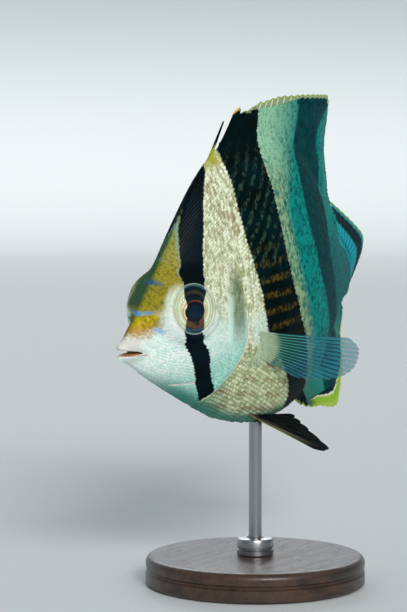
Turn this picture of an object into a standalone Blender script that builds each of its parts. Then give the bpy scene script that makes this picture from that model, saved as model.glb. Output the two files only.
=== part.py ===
"""Banded butterflyfish (Chaetodon striatus), a still model at life size on a display stand.

Metres, +Z up, origin at the middle of the stand's underside.  The fish faces -X with its
left flank towards -Y, a little head down, and bends to its right at both ends.

Its measures are fractions of the standard length, in the fish's own directions:
s runs back from the snout, z up from the body's axis and w out to the fish's left.
"""
import math

import bpy
import numpy as np
from mathutils import Matrix, Vector

# Size and stance
STANDARD_LENGTH = 0.108
AXIS_HEIGHT = 0.0662
ROD_STATION = 0.47
HEAD_DOWN = math.radians(7.0)
BEND_STATIONS = (0.12, 0.62, 1.15)
BEND_TURNS = (7.9, -5.9, -18.9)

# Thicknesses in metres
GAP = 0.0003
MEMBRANE_HALF = 0.00026
MEMBRANE_EDGE_HALF = 0.00022
RAY_HALF = 0.00042
RAY_TIP_HALF = 0.00028
SPINE_HALF = 0.00065
SPINE_TIP_HALF = 0.00022
SPINE_WIDTH_HALF = 0.00055
FIN_FOOT_HALF = 0.0008
FIN_FOOT_RISE = 0.12

# Lines of the body: back, belly, half width and the level where it is widest
STATIONS = (0.0, 0.05, 0.10, 0.20, 0.30, 0.36, 0.43, 0.52, 0.62, 0.72, 0.82, 0.90, 0.96, 1.0)
BACK = (0.012, 0.060, 0.118, 0.243, 0.352, 0.388, 0.402, 0.402, 0.385, 0.335, 0.250, 0.155, 0.092, 0.075)
BELLY = (-0.014, -0.050, -0.086, -0.152, -0.206, -0.224, -0.237, -0.240,
         -0.228, -0.195, -0.135, -0.078, -0.048, -0.042)
HALF_WIDTH = (0.007, 0.025, 0.045, 0.079, 0.091, 0.096, 0.100, 0.098, 0.088, 0.072, 0.052, 0.036, 0.026, 0.021)
WIDEST = (0.0, 0.004, 0.010, 0.034, 0.040, 0.040, 0.040, 0.040, 0.040, 0.040, 0.038, 0.036, 0.026, 0.017)
SEAT_HALF = 0.009
FULLNESS_STATIONS = (0.0, 0.30, 0.50, 0.65, 1.0)
BACK_FULLNESS = (0.62, 0.74, 0.95, 1.0, 1.0)
BREAST_FULLNESS = (0.60, 0.58, 0.70, 0.90, 1.0)
SECTION_POWER = 1.85

# Head
GILL_LEVELS = (-0.170, -0.155, -0.139, -0.105, -0.057, 0.010, 0.089, 0.160, 0.250, 0.400)
GILL_EDGE = (0.195, 0.202, 0.216, 0.2475, 0.291, 0.310, 0.300, 0.301, 0.312, 0.330)
GILL_RISE = 0.006
EYE = (0.154, 0.071)
EYE_RADIUS = 0.0545
EYE_DEPTH = 0.0290
EYE_OUT = 0.0710
EYE_FORWARD = math.radians(12.0)
EYE_UP = math.radians(6.0)
ORBIT_OUT = 0.078
ORBIT_FLAT = (0.056, 0.080)
ORBIT_CLEAR = 0.80
ORBIT_RISE = 0.010
ORBIT_RING = (0.052, 0.026)
BROW_LIFT = 0.008
PREOPERCLE_STATION = 0.255
PREOPERCLE_CURVE = 1.6
PREOPERCLE_RISE = 0.003
LIP_RISE = 0.0035
MOUTH_CORNER = 0.052
MOUTH_LEVEL = -0.002
MOUTH_SLOPE = 0.12
MOUTH_GAP = 0.0125
NOSTRILS = ((0.0815, 0.0700, 0.0044), (0.0910, 0.0775, 0.0038))
TAIL_CUT = 0.90
SNOUT_TIP = 0.007

# Fins
FIN_ROWS = (0.0, 0.06, 0.20, 0.42, 0.64, 0.84, 1.0)
DORSAL_SPINES = 12
DORSAL_RAYS = 20
ANAL_RAYS = 16
CAUDAL_RAYS = 17
PECTORAL_RAYS = 14
PELVIC_RAYS = 5

# Stand
BASE_RADIUS = 0.027
BASE_HEIGHT = 0.007
BASE_BEVEL = 0.0012
COLLAR_RADIUS = 0.0045
COLLAR_HEIGHT = 0.004
ROD_RADIUS = 0.0016

for leftover in list(bpy.data.objects):
    bpy.data.objects.remove(leftover, do_unlink=True)

fish = bpy.data.collections.new("banded_butterflyfish")
cutters = bpy.data.collections.new("cutters")
bpy.context.scene.collection.children.link(fish)
bpy.context.scene.collection.children.link(cutters)


def share(metres):
    """A length in metres as a fraction of the standard length."""
    return metres / STANDARD_LENGTH


def smooth(at, stations, values):
    """Cubic curve through the values, each station's slope taken from its neighbours."""
    x = np.asarray(stations, float)
    y = np.asarray(values, float)
    slope = np.gradient(y, x)
    at = np.clip(at, x[0], x[-1])
    k = np.clip(np.searchsorted(x, at, side="right") - 1, 0, len(x) - 2)
    step = x[k + 1] - x[k]
    t = (at - x[k]) / step
    rise = y[k] * (1 + 2 * t) * (1 - t) ** 2 + y[k + 1] * t * t * (3 - 2 * t)
    return rise + step * (slope[k] * t * (1 - t) ** 2 - slope[k + 1] * t * t * (1 - t))


def ramp(at, start, end):
    """Zero before start, one after end, a smooth step between."""
    t = np.clip((np.asarray(at, float) - start) / (end - start), 0, 1)
    return t * t * (3 - 2 * t)


# The bent axis, as distances back and to the right of the point over the rod
BEND = np.polyfit(BEND_STATIONS, BEND_TURNS, 2)
AXIS_S = np.linspace(-0.1, 1.4, 601)


def turn(s):
    """Angle of the fish's forward direction from -X, towards its right."""
    return np.radians(np.polyval(BEND, np.clip(s, BEND_STATIONS[0], BEND_STATIONS[-1])))


def run_sum(rate):
    """Running sum of a rate along the axis, zero over the rod."""
    steps = (rate[1:] + rate[:-1]) / 2 * np.diff(AXIS_S)
    total = np.concatenate([[0.0], np.cumsum(steps)])
    return total - np.interp(ROD_STATION, AXIS_S, total)


AXIS_BACK = run_sum(np.cos(turn(AXIS_S)))
AXIS_SIDE = run_sum(-np.sin(turn(AXIS_S)))


def place(points):
    """World places of points given as s, z, w: set square on the bent axis, then pitched."""
    s, z, w = np.moveaxis(np.asarray(points, float), -1, 0)
    back = np.interp(s, AXIS_S, AXIS_BACK) - w * np.sin(turn(s))
    side = np.interp(s, AXIS_S, AXIS_SIDE) - w * np.cos(turn(s))
    x = back * math.cos(HEAD_DOWN) - z * math.sin(HEAD_DOWN)
    up = z * math.cos(HEAD_DOWN) + back * math.sin(HEAD_DOWN)
    return np.stack([x, side, up + share(AXIS_HEIGHT)], -1) * STANDARD_LENGTH


def back_line(s):
    return smooth(s, STATIONS, BACK)


def belly_line(s):
    return smooth(s, STATIONS, BELLY)


def gill_edge(z):
    """Station of the gill opening and of the cut above and below it, at a height."""
    return smooth(z, GILL_LEVELS, GILL_EDGE)


def section_width(s, height, upper):
    """Plain half width, from height 0 at the widest level to 1 at the back or the belly."""
    widest = smooth(s, STATIONS, HALF_WIDTH)
    seat = np.minimum(SEAT_HALF, 0.45 * widest)
    above = smooth(s, FULLNESS_STATIONS, BACK_FULLNESS)
    below = smooth(s, FULLNESS_STATIONS, BREAST_FULLNESS)
    fullness = np.where(upper, above, below)
    rest = np.clip(1 - np.clip(height, 0, 1) ** SECTION_POWER, 0, 1)
    return seat + (widest - seat) * rest ** fullness


def relief(s, z):
    """What stands off the plain head: orbit, edge of the gill cover, preopercle and lips."""
    ring, fade = ORBIT_RING
    from_eye = np.hypot(s - EYE[0], z - EYE[1] - BROW_LIFT)
    orbit = ORBIT_RISE * np.exp(-(np.maximum(from_eye - ring, 0) / fade) ** 2)
    level = ramp(z, -0.15, -0.10) * (1 - ramp(z, 0.10, 0.16))
    edge = gill_edge(z)
    cover = GILL_RISE * level * ramp(s, edge - 0.045, edge - 0.012) * (s < edge)
    fold = PREOPERCLE_STATION - PREOPERCLE_CURVE * (z - 0.01) ** 2
    preopercle = PREOPERCLE_RISE * level * np.exp(-((s - fold) / 0.009) ** 2)
    from_mouth = np.abs(z - MOUTH_LEVEL)
    lips = LIP_RISE * np.exp(-((from_mouth - 0.008) / 0.007) ** 2) * (1 - ramp(s, 0.035, 0.065))
    return orbit + cover + preopercle + lips


def drawn_to_orbit(s, z, height, half):
    """Half width drawn onto the tilted plane round each eye, but not at the ridge of the head."""
    plane = ORBIT_OUT + math.tan(EYE_FORWARD) * (s - EYE[0]) - math.tan(EYE_UP) * (z - EYE[1])
    pull = 1 - ramp(np.hypot(s - EYE[0], z - EYE[1]), *ORBIT_FLAT)
    return half + (plane - half) * pull * (1 - ramp(height, ORBIT_CLEAR, 1))


def flank(s, z):
    """Half width of the body at a station and a height."""
    level = smooth(s, STATIONS, WIDEST)
    upper = z > level
    height = np.abs(z - level) / np.where(upper, back_line(s) - level, level - belly_line(s))
    return drawn_to_orbit(s, z, height, section_width(s, height, upper) + relief(s, z))


def underside(s, w):
    """Height of the belly at a station and a distance from the middle."""
    level = smooth(s, STATIONS, WIDEST)
    widest = smooth(s, STATIONS, HALF_WIDTH)
    fullness = smooth(s, FULLNESS_STATIONS, BREAST_FULLNESS)
    part = np.clip((w - SEAT_HALF) / (widest - SEAT_HALF), 0, 1)
    height = (1 - part ** (1 / fullness)) ** (1 / SECTION_POWER)
    return level - height * (level - belly_line(s))


def ring_height(s, v):
    """Height on a section, v running from 0 at the back to 1 at the belly."""
    level = smooth(s, STATIONS, WIDEST)
    swing = np.cos(math.pi * v)
    return level + np.where(swing > 0, swing * (back_line(s) - level), swing * (level - belly_line(s)))


def finish(name, colour, roughness, metallic=0.0):
    material = bpy.data.materials.new(name)
    material.use_nodes = True
    shader = material.node_tree.nodes["Principled BSDF"]
    shader.inputs["Base Color"].default_value = (*colour, 1.0)
    shader.inputs["Roughness"].default_value = roughness
    shader.inputs["Metallic"].default_value = metallic
    material.diffuse_color = (*colour, 1.0)
    return material


def closed_slab(name, near, far, material, home=fish):
    """Solid between two grids of points, split into triangles alike, closed along the rim."""
    rows, columns = near.shape[:2]
    number = np.arange(rows * columns).reshape(rows, columns)
    other = rows * columns
    a, b = number[:-1, :-1].ravel(), number[1:, :-1].ravel()
    c, d = number[1:, 1:].ravel(), number[:-1, 1:].ravel()
    front = np.concatenate([np.stack([a, b, c], 1), np.stack([a, c, d], 1)])
    rim = np.concatenate([number[:-1, 0], number[-1, :-1], number[:0:-1, -1], number[0, :0:-1]])
    after = np.roll(rim, -1)
    walls = np.concatenate([np.stack([after, rim, rim + other], 1),
                            np.stack([after, rim + other, after + other], 1)])
    faces = np.concatenate([front, front[:, ::-1] + other, walls])
    points = np.concatenate([near.reshape(-1, 3), far.reshape(-1, 3)])
    corners = points[faces] - points.mean(0)
    if np.einsum("ij,ij->i", corners[:, 0], np.cross(corners[:, 1], corners[:, 2])).sum() < 0:
        faces = faces[:, ::-1]
    mesh = bpy.data.meshes.new(name)
    mesh.from_pydata(points.tolist(), [], faces.tolist())
    mesh.shade_smooth()
    mesh.set_sharp_from_angle(angle=math.radians(50))
    mesh.materials.append(material)
    solid = bpy.data.objects.new(name, mesh)
    home.objects.link(solid)
    return solid


def flesh(name, start, end, columns, rows, material):
    """Length of the body between two cuts, each given as a station for every height."""
    v = np.linspace(0, 1, rows + 1)[None, :]
    u = np.linspace(0, 1, columns + 1)[:, None]
    first = np.full(v.shape, 0.5)
    last = np.full(v.shape, 0.5)
    for _ in range(60):
        first = (first + start(ring_height(first, v))) / 2
        last = (last + end(ring_height(last, v))) / 2
    s = first + (last - first) * u
    z = ring_height(s, v)
    height = np.abs(np.cos(math.pi * v)) + 0 * s
    w = section_width(s, height, z > smooth(s, STATIONS, WIDEST)) + relief(s, z)
    w = drawn_to_orbit(s, z, height, w)
    return closed_slab(name, place(np.stack([s, z, w], -1)), place(np.stack([s, z, -w], -1)), material)


def body_frame(s, forward, up):
    """World matrix of something on the left flank, turned forward and up from square."""
    heading = float(turn(s))
    ahead = Vector((-math.cos(heading), math.sin(heading), 0.0))
    left = Vector((-math.sin(heading), -math.cos(heading), 0.0))
    pitch = Matrix.Rotation(-HEAD_DOWN, 3, "Y")
    out = left * math.cos(forward) * math.cos(up) + ahead * math.sin(forward) * math.cos(up)
    out = pitch @ (out + Vector((0.0, 0.0, math.sin(up))))
    return out.to_track_quat("Z", "Y").to_matrix().to_4x4()


def add_to(home, solid, name, material=None):
    """Names the object just made and moves it to its collection."""
    solid.name = name
    solid.data.name = name
    for owner in list(solid.users_collection):
        owner.objects.unlink(solid)
    home.objects.link(solid)
    if material:
        solid.data.materials.append(material)
    return solid


def cut(solid, cutter):
    cutter.hide_render = True
    cutter.display_type = "WIRE"
    carve = solid.modifiers.new(cutter.name, "BOOLEAN")
    carve.operation = "DIFFERENCE"
    carve.object = cutter


def eye_shape(name, side, grow, home, material=None):
    """Flattened ball, its flat way along the eye's line of sight."""
    out = side * EYE_OUT
    middle = Vector(place((EYE[0], EYE[1], out)))
    bpy.ops.mesh.primitive_uv_sphere_add(segments=24, ring_count=12, radius=1.0)
    ball = bpy.context.object
    radius = EYE_RADIUS * STANDARD_LENGTH + grow
    depth = EYE_DEPTH * STANDARD_LENGTH + grow
    sight = body_frame(EYE[0], EYE_FORWARD, EYE_UP)
    if side < 0:
        heading = float(turn(EYE[0]))
        mirror = Matrix.Rotation(-HEAD_DOWN, 4, "Y") @ Matrix.Rotation(-heading, 4, "Z")
        flip = mirror @ Matrix.Scale(-1, 4, (0, 1, 0)) @ mirror.inverted()
        sight = flip @ sight @ Matrix.Scale(-1, 4, (1, 0, 0))
    ball.data.transform(Matrix.Translation(middle) @ sight @ Matrix.Diagonal((radius, radius, depth, 1)))
    ball.data.shade_smooth()
    return add_to(home, ball, name, material)


def nostril(name, side, s, z, radius):
    """Short round pit, set square to the snout."""
    half = float(flank(np.array(s), np.array(z)))
    middle = Vector(place((s, z, side * half)))
    inside = Vector(place((s, z - 0.2 * radius, side * (half - 2.2 * radius))))
    depth = 3.0 * radius * STANDARD_LENGTH
    bpy.ops.mesh.primitive_cone_add(vertices=8, radius1=0.5 * radius * STANDARD_LENGTH,
                                    radius2=1.1 * radius * STANDARD_LENGTH, depth=depth)
    pit = bpy.context.object
    aim = (middle - inside).to_track_quat("Z", "Y").to_matrix().to_4x4()
    pit.data.transform(Matrix.Translation(middle) @ aim)
    return add_to(cutters, pit, name)


def mouth_wedge():
    """Space between the lips, open at the snout and closing to the corners of the mouth."""
    back = np.linspace(-0.02, MOUTH_CORNER, 5)[:, None]
    across = np.linspace(-0.06, 0.06, 3)[None, :]
    s = back + 0 * across
    opening = MOUTH_GAP * (1 - back / MOUTH_CORNER) ** 0.7 / 2 + 0.0002
    middle = MOUTH_LEVEL - MOUTH_SLOPE * back
    upper = np.stack([s, middle + opening + 0 * across, across + 0 * back], -1)
    lower = np.stack([s, middle - opening + 0 * across, across + 0 * back], -1)
    return closed_slab("mouth_wedge", place(upper), place(lower), finish("mouth_cut", (0.5, 0.2, 0.2), 0.6), cutters)


def fin_rows(root, tip, root_half, tip_half, side, foot=0.0, bow=0.0):
    """Two faces of a fin, its columns running from root to tip with their own thickness."""
    r = np.array(FIN_ROWS)[:, None, None]
    half = root_half[None, :, None] * (1 - r) + tip_half[None, :, None] * r
    half = np.maximum(half, foot * (1 - ramp(r, 0, FIN_FOOT_RISE)))
    middle = root[None] * (1 - r) + tip[None] * r + bow * 4 * r * (1 - r) * side
    return middle + half * side, middle - half * side


# Finishes
skin = {
    "head": finish("head_skin", (0.72, 0.66, 0.46), 0.4),
    "trunk": finish("flank_skin", (0.68, 0.66, 0.55), 0.4),
    "stalk": finish("stalk_skin", (0.45, 0.58, 0.56), 0.4),
    "dark": finish("black_fin", (0.05, 0.07, 0.07), 0.5),
    "dorsal": finish("dorsal_fin", (0.30, 0.36, 0.33), 0.5),
    "clear": finish("clear_fin", (0.55, 0.72, 0.75), 0.35),
    "eye": finish("eye", (0.04, 0.05, 0.08), 0.08),
    "wood": finish("base_wood", (0.16, 0.09, 0.05), 0.35),
    "steel": finish("steel", (0.62, 0.62, 0.63), 0.3, 1.0),
}

# Head, trunk and tail stalk, parted by thin cuts
half_gap = share(GAP) / 2
head = flesh("head", lambda z: SNOUT_TIP + 0 * z, lambda z: gill_edge(z) - half_gap, 30, 30, skin["head"])
flesh("trunk", lambda z: gill_edge(z) + half_gap, lambda z: TAIL_CUT - half_gap + 0 * z, 18, 24, skin["trunk"])
flesh("tail_stalk", lambda z: TAIL_CUT + half_gap + 0 * z, lambda z: 1 + 0 * z, 4, 14, skin["stalk"])

cut(head, mouth_wedge())
for side, word in ((1, "left"), (-1, "right")):
    eye_shape("eye_" + word, side, 0.0, fish, skin["eye"])
    cut(head, eye_shape("socket_" + word, side, GAP, cutters))
    for number, (s, z, radius) in enumerate(NOSTRILS):
        cut(head, nostril("nostril_%s_%d" % (word, number + 1), side, s, z, radius))


def median_fin(name, columns, bend, material, swing=0.0):
    """Fin on the middle line.  A column is root s, root z, tip s, tip z and two half thicknesses.

    The whole fin follows a bend, and its straight rays may swing to tips off the middle line.
    """
    table = np.array(columns)
    root = np.stack([table[:, 0], table[:, 1], 0 * table[:, 0]], 1)
    tip = np.stack([table[:, 2], table[:, 3], 0 * table[:, 0] + swing], 1)
    side = np.array((0.0, 0.0, 1.0))
    near, far = fin_rows(root, tip, share(table[:, 4]), share(table[:, 5]), side, share(FIN_FOOT_HALF))
    lean = bend(near[..., 0], near[..., 1])
    near[..., 2] += lean
    far[..., 2] += lean
    return closed_slab(name, place(near), place(far), material)


def spread(line, at):
    """Point on an outline at a fraction of its count of points."""
    points = np.array(line)
    knots = np.linspace(0, 1, len(points))
    return smooth(at, knots, points[:, 0]), smooth(at, knots, points[:, 1])


def ribs(count, root_line, outline, sign, ray=(RAY_HALF, RAY_TIP_HALF), scallop=0.004):
    """Columns of a soft fin: rays as ridges with the thinner membrane in the valleys."""
    columns = []
    for number in range(2 * count + 1):
        at = number / (2 * count)
        root_s, root_z = root_line(at)
        tip_s, tip_z = spread(outline, at)
        is_ray = number % 2 == 1
        if not is_ray:
            tip_s -= scallop * (tip_s > 1.0)
            tip_z -= sign * scallop * (tip_s <= 1.0)
        half = ray if is_ray else (MEMBRANE_HALF, MEMBRANE_EDGE_HALF)
        columns.append((root_s, root_z, float(tip_s), float(tip_z), *half))
    return columns


def spines(roots, tips, sign, seat, notch):
    """Columns of a spiny fin: each spine's middle and edges, then the cut-in membrane."""
    columns = []
    wide = share(SPINE_WIDTH_HALF)
    for number, (root_s, (tip_s, tip_z)) in enumerate(zip(roots, tips)):
        for step in (-1, 0, 1):
            half = (SPINE_HALF, SPINE_TIP_HALF) if step == 0 else (MEMBRANE_HALF, SPINE_TIP_HALF * 0.8)
            foot = root_s + step * wide
            columns.append((foot, seat(foot), tip_s + step * wide * 0.3, tip_z - sign * 0.002 * abs(step), *half))
        if number + 1 < len(roots):
            next_s, next_z = tips[number + 1]
            low = notch[0] + (notch[1] - notch[0]) * min(number / 3, 1)
            middle = (root_s + roots[number + 1]) / 2
            columns.append((middle, seat(middle), (tip_s + next_s) / 2 - 0.3 * low,
                            (tip_z + next_z) / 2 - sign * low, MEMBRANE_HALF, MEMBRANE_EDGE_HALF))
    return columns


def above_back(s):
    return float(back_line(s)) + share(GAP)


def below_belly(s):
    return float(belly_line(s)) - share(GAP)


def dorsal_bend(s, z):
    """Rear edge of the dorsal fin swept to the fish's right, least at its corner."""
    return -0.030 * ramp(s, 0.84, 1.0) * ramp(z, 0.12, 0.22) * (1 - 0.8 * ramp(z, 0.31, 0.46))


# Dorsal fin, its spiny front and its soft rear
SPINE_ROOTS = np.linspace(0.345, 0.655, DORSAL_SPINES)
DORSAL_SPLIT = 0.668
DORSAL_END = 0.93
SPINE_TIPS = ((0.398, 0.446), (0.462, 0.474), (0.545, 0.482), (0.640, 0.481), (0.758, 0.476))
SOFT_DORSAL = ((0.768, 0.474), (0.840, 0.469), (0.915, 0.463), (0.978, 0.454), (0.988, 0.408),
               (0.993, 0.350), (0.999, 0.285), (0.998, 0.225), (0.978, 0.172), (0.950, 0.143))
tips = [tuple(float(v) for v in spread(SPINE_TIPS, at)) for at in np.linspace(0, 1, DORSAL_SPINES)]
columns = spines(list(SPINE_ROOTS), tips, 1, above_back, (0.030, 0.006))
columns.append((DORSAL_SPLIT, above_back(DORSAL_SPLIT), 0.764, 0.472, MEMBRANE_HALF, MEMBRANE_EDGE_HALF))
median_fin("dorsal_fin_spiny", columns, dorsal_bend, skin["dorsal"])


def soft_dorsal_root(at):
    s = DORSAL_SPLIT + share(GAP) + (DORSAL_END - DORSAL_SPLIT) * at
    return s, above_back(s)


median_fin("dorsal_fin_soft", ribs(DORSAL_RAYS, soft_dorsal_root, SOFT_DORSAL, 1), dorsal_bend, skin["dorsal"])


def anal_bend(s, z):
    """Rear edge of the anal fin swept to the fish's right."""
    return -0.018 * ramp(s, 0.84, 1.0) * ramp(-z, 0.06, 0.14)


# Anal fin, three spines and the soft rear in one sheet
ANAL_ROOTS = (0.615, 0.640, 0.668)
ANAL_TIPS = ((0.658, -0.250), (0.700, -0.265), (0.745, -0.273))
ANAL_START = 0.684
ANAL_END = 0.93
SOFT_ANAL = ((0.766, -0.275), (0.812, -0.288), (0.862, -0.299), (0.918, -0.298), (0.972, -0.268),
             (1.004, -0.217), (1.010, -0.160), (1.005, -0.112), (0.972, -0.080), (0.948, -0.068))


def soft_anal_root(at):
    s = ANAL_START + (ANAL_END - ANAL_START) * at
    return s, below_belly(s)


columns = spines(list(ANAL_ROOTS), ANAL_TIPS, -1, below_belly, (0.020, 0.012))
columns += ribs(ANAL_RAYS, soft_anal_root, SOFT_ANAL, -1)
median_fin("anal_fin", columns, anal_bend, skin["dark"])


# Tail fin, cupped: its corners swung further to the fish's right than its middle
TAIL_TIPS = ((1.149, 0.176), (1.183, 0.142), (1.208, 0.110), (1.222, 0.078),
             (1.217, 0.046), (1.198, 0.014), (1.172, -0.020), (1.141, -0.057))
TAIL_SWING = (-0.060, -0.037, -0.015, 0.003, 0.003, -0.006, -0.018, -0.033)


def tail_root(at):
    return 1 + share(GAP), 0.070 - 0.106 * at


swing = smooth(np.linspace(0, 1, 2 * CAUDAL_RAYS + 1), np.linspace(0, 1, len(TAIL_SWING)), TAIL_SWING)
median_fin("caudal_fin", ribs(CAUDAL_RAYS, tail_root, TAIL_TIPS, 1), lambda s, z: 0 * s, skin["clear"], swing)


def pectoral(name, side, outward, material):
    """Fan on the flank: the long rays at the top, swung out from the body."""
    count = 2 * PECTORAL_RAYS + 1
    at = np.linspace(0, 1, count)
    root_s = 0.350 + 0.022 * at
    root_z = -0.013 - 0.070 * at
    reach = smooth(at, (0, 0.12, 0.3, 0.55, 0.8, 1), (0.238, 0.264, 0.268, 0.245, 0.172, 0.085))
    dip = np.radians(smooth(at, (0, 0.3, 0.7, 1), (12.5, 17.5, 26.5, 34.0)))
    reach = reach - 0.004 * (np.arange(count) % 2 == 0)
    is_ray = np.arange(count) % 2 == 1
    root = np.stack([root_s, root_z, flank(root_s, root_z) + share(0.0007)], 1)
    way = np.stack([np.cos(dip) * math.cos(outward), -np.sin(dip), np.cos(dip) * math.sin(outward)], 1)
    face = np.array((-math.sin(outward), 0.0, math.cos(outward)))
    near, far = fin_rows(root, root + way * reach[:, None], share(np.where(is_ray, RAY_HALF, MEMBRANE_HALF)),
                         share(np.where(is_ray, RAY_TIP_HALF, MEMBRANE_EDGE_HALF)), face, 0.0, 0.010)
    shift = share(FIN_FOOT_HALF) / math.sin(outward) * 0.7
    for grid, step in ((near, -shift), (far, shift)):
        grid[0, :, 0] = root_s + step
        grid[0, :, 2] = flank(root_s + step, root_z) + share(GAP)
    for grid in (near, far):
        grid[..., 2] *= side
    return closed_slab(name, place(near), place(far), material)


pectoral("pectoral_fin_left", 1, math.radians(24), skin["clear"])
pectoral("pectoral_fin_right", -1, math.radians(30), skin["clear"])


def pelvic(name, side, lowered, outward, material):
    """Narrow blade under the breast: a spine in front, then five rays growing shorter."""
    count = 2 * (PELVIC_RAYS + 1)
    at = np.linspace(0, 1, count)
    root_s = 0.374 + 0.050 * at
    root_w = 0.028 + 0 * at
    reach = smooth(at, (0, 0.2, 0.45, 0.8, 1), (0.270, 0.310, 0.220, 0.132, 0.102))
    dip = lowered * (1 - 0.305 * at - 0.34 * at ** 2)
    spread_out = outward + math.radians(5.0) * at
    stiff = np.arange(count) % 2 == 0
    way = np.stack([np.cos(dip) * np.cos(spread_out), -np.sin(dip), np.cos(dip) * np.sin(spread_out)], 1)
    face = np.array((0.0, 0.0, 1.0))
    root = np.stack([root_s, underside(root_s, root_w) - share(GAP), root_w], 1)
    near, far = fin_rows(root, root + way * reach[:, None],
                         share(np.where(stiff, RAY_HALF, MEMBRANE_HALF)),
                         share(np.where(stiff, RAY_TIP_HALF, MEMBRANE_EDGE_HALF)), face, share(0.0006), 0.0)
    for grid in (near, far):
        grid[0, :, 1] = underside(grid[0, :, 0], grid[0, :, 2]) - share(GAP) * 1.3
        grid[..., 2] *= side
    return closed_slab(name, place(near), place(far), material)


pelvic("pelvic_fin_left", 1, math.radians(29.5), math.radians(7), skin["dark"])
pelvic("pelvic_fin_right", -1, math.radians(16), math.radians(0), skin["dark"])


def turned(name, radius, low, high, bevel, sides, material):
    """Upright round solid with bevelled rims, over the origin."""
    bpy.ops.mesh.primitive_cylinder_add(vertices=sides, radius=radius, depth=high - low)
    solid = bpy.context.object
    solid.data.transform(Matrix.Translation((0, 0, (low + high) / 2)))
    solid.data.shade_smooth()
    solid.data.set_sharp_from_angle(angle=math.radians(40))
    if bevel:
        edge = solid.modifiers.new("edge", "BEVEL")
        edge.width = bevel
        edge.segments = 2
        edge.limit_method = "ANGLE"
    return add_to(fish, solid, name, material)


# Stand: a disc, a collar on it and one rod up to the belly
rod_top = float(place((ROD_STATION, float(belly_line(ROD_STATION)), 0.0))[2]) - GAP
collar_low = BASE_HEIGHT + GAP
turned("stand_base", BASE_RADIUS, 0.0, BASE_HEIGHT, BASE_BEVEL, 48, skin["wood"])
turned("stand_collar", COLLAR_RADIUS, collar_low, collar_low + COLLAR_HEIGHT, 0.0006, 24, skin["steel"])
turned("stand_rod", ROD_RADIUS, collar_low + COLLAR_HEIGHT + GAP, rod_top, 0.0, 20, skin["steel"])
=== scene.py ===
"""Banded butterflyfish (Chaetodon striatus), a still museum model at life size on its stand.

Metres, +Z up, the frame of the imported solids.  The fish's own measures are fractions of its
standard length: s runs back from the snout, z up from the body's axis, w out from the middle.
"""
import math

import bpy
import numpy as np
from mathutils import Matrix, Vector


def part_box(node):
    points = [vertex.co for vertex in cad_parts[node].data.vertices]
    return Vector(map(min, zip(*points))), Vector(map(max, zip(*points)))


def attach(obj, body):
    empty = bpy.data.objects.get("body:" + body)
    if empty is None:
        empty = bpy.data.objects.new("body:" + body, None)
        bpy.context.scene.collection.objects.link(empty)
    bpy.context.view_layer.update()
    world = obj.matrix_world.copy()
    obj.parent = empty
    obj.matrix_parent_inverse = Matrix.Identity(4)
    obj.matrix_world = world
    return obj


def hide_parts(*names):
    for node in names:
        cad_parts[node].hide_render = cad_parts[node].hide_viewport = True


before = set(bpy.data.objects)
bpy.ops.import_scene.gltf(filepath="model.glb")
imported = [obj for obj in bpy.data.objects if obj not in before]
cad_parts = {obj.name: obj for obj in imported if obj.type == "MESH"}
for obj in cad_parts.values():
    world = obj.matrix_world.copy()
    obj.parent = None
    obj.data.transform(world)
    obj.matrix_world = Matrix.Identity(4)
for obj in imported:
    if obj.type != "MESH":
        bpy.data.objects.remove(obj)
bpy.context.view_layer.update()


# Base disc.  A foot turned from dark walnut, its rim rounded over and a fine bead cut below
# it, rubbed with oil.  It lies flat on the table and carries the rod.
BASE_RADIUS = 0.027
BASE_HEIGHT = 0.007
BASE_ROUND = 0.0016
BASE_EASE = 0.0006
BASE_BEAD = ((0.0, 0.0030), (0.0005, 0.0034), (0.0005, 0.0038), (0.0001, 0.0042))


class Shade:
    """A number on its way through a material: arithmetic on it adds Math nodes."""

    def __init__(self, finish, socket):
        self.finish = finish
        self.socket = socket

    def __add__(self, other):
        return self.finish.maths("ADD", self, other)

    def __sub__(self, other):
        return self.finish.maths("SUBTRACT", self, other)

    def __rsub__(self, other):
        return self.finish.maths("SUBTRACT", other, self)

    def __mul__(self, other):
        return self.finish.maths("MULTIPLY", self, other)

    def __truediv__(self, other):
        return self.finish.maths("DIVIDE", self, other)

    def __pow__(self, other):
        return self.finish.maths("POWER", self, other)

    def __abs__(self):
        return self.finish.maths("ABSOLUTE", self, 0.0)

    __radd__ = __add__
    __rmul__ = __mul__

    def ramp(self, start, end):
        """Zero at start, one at end, a smooth step between, whichever is larger."""
        sockets = {"Value": self, "From Min": start, "From Max": end}
        return self.finish.node("ShaderNodeMapRange", {"interpolation_type": "SMOOTHSTEP"}, sockets)

    def near(self, middle, half):
        """One within half a width of the middle, fading to zero at twice that."""
        return abs(self - middle).ramp(2 * half, 0.6 * half)

    def wave(self, length, shift=0.0):
        """A sine from zero to one that repeats at this length."""
        return self.finish.maths("SINE", self * (2 * math.pi / length) + shift, 0.0) * 0.5 + 0.5


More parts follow.
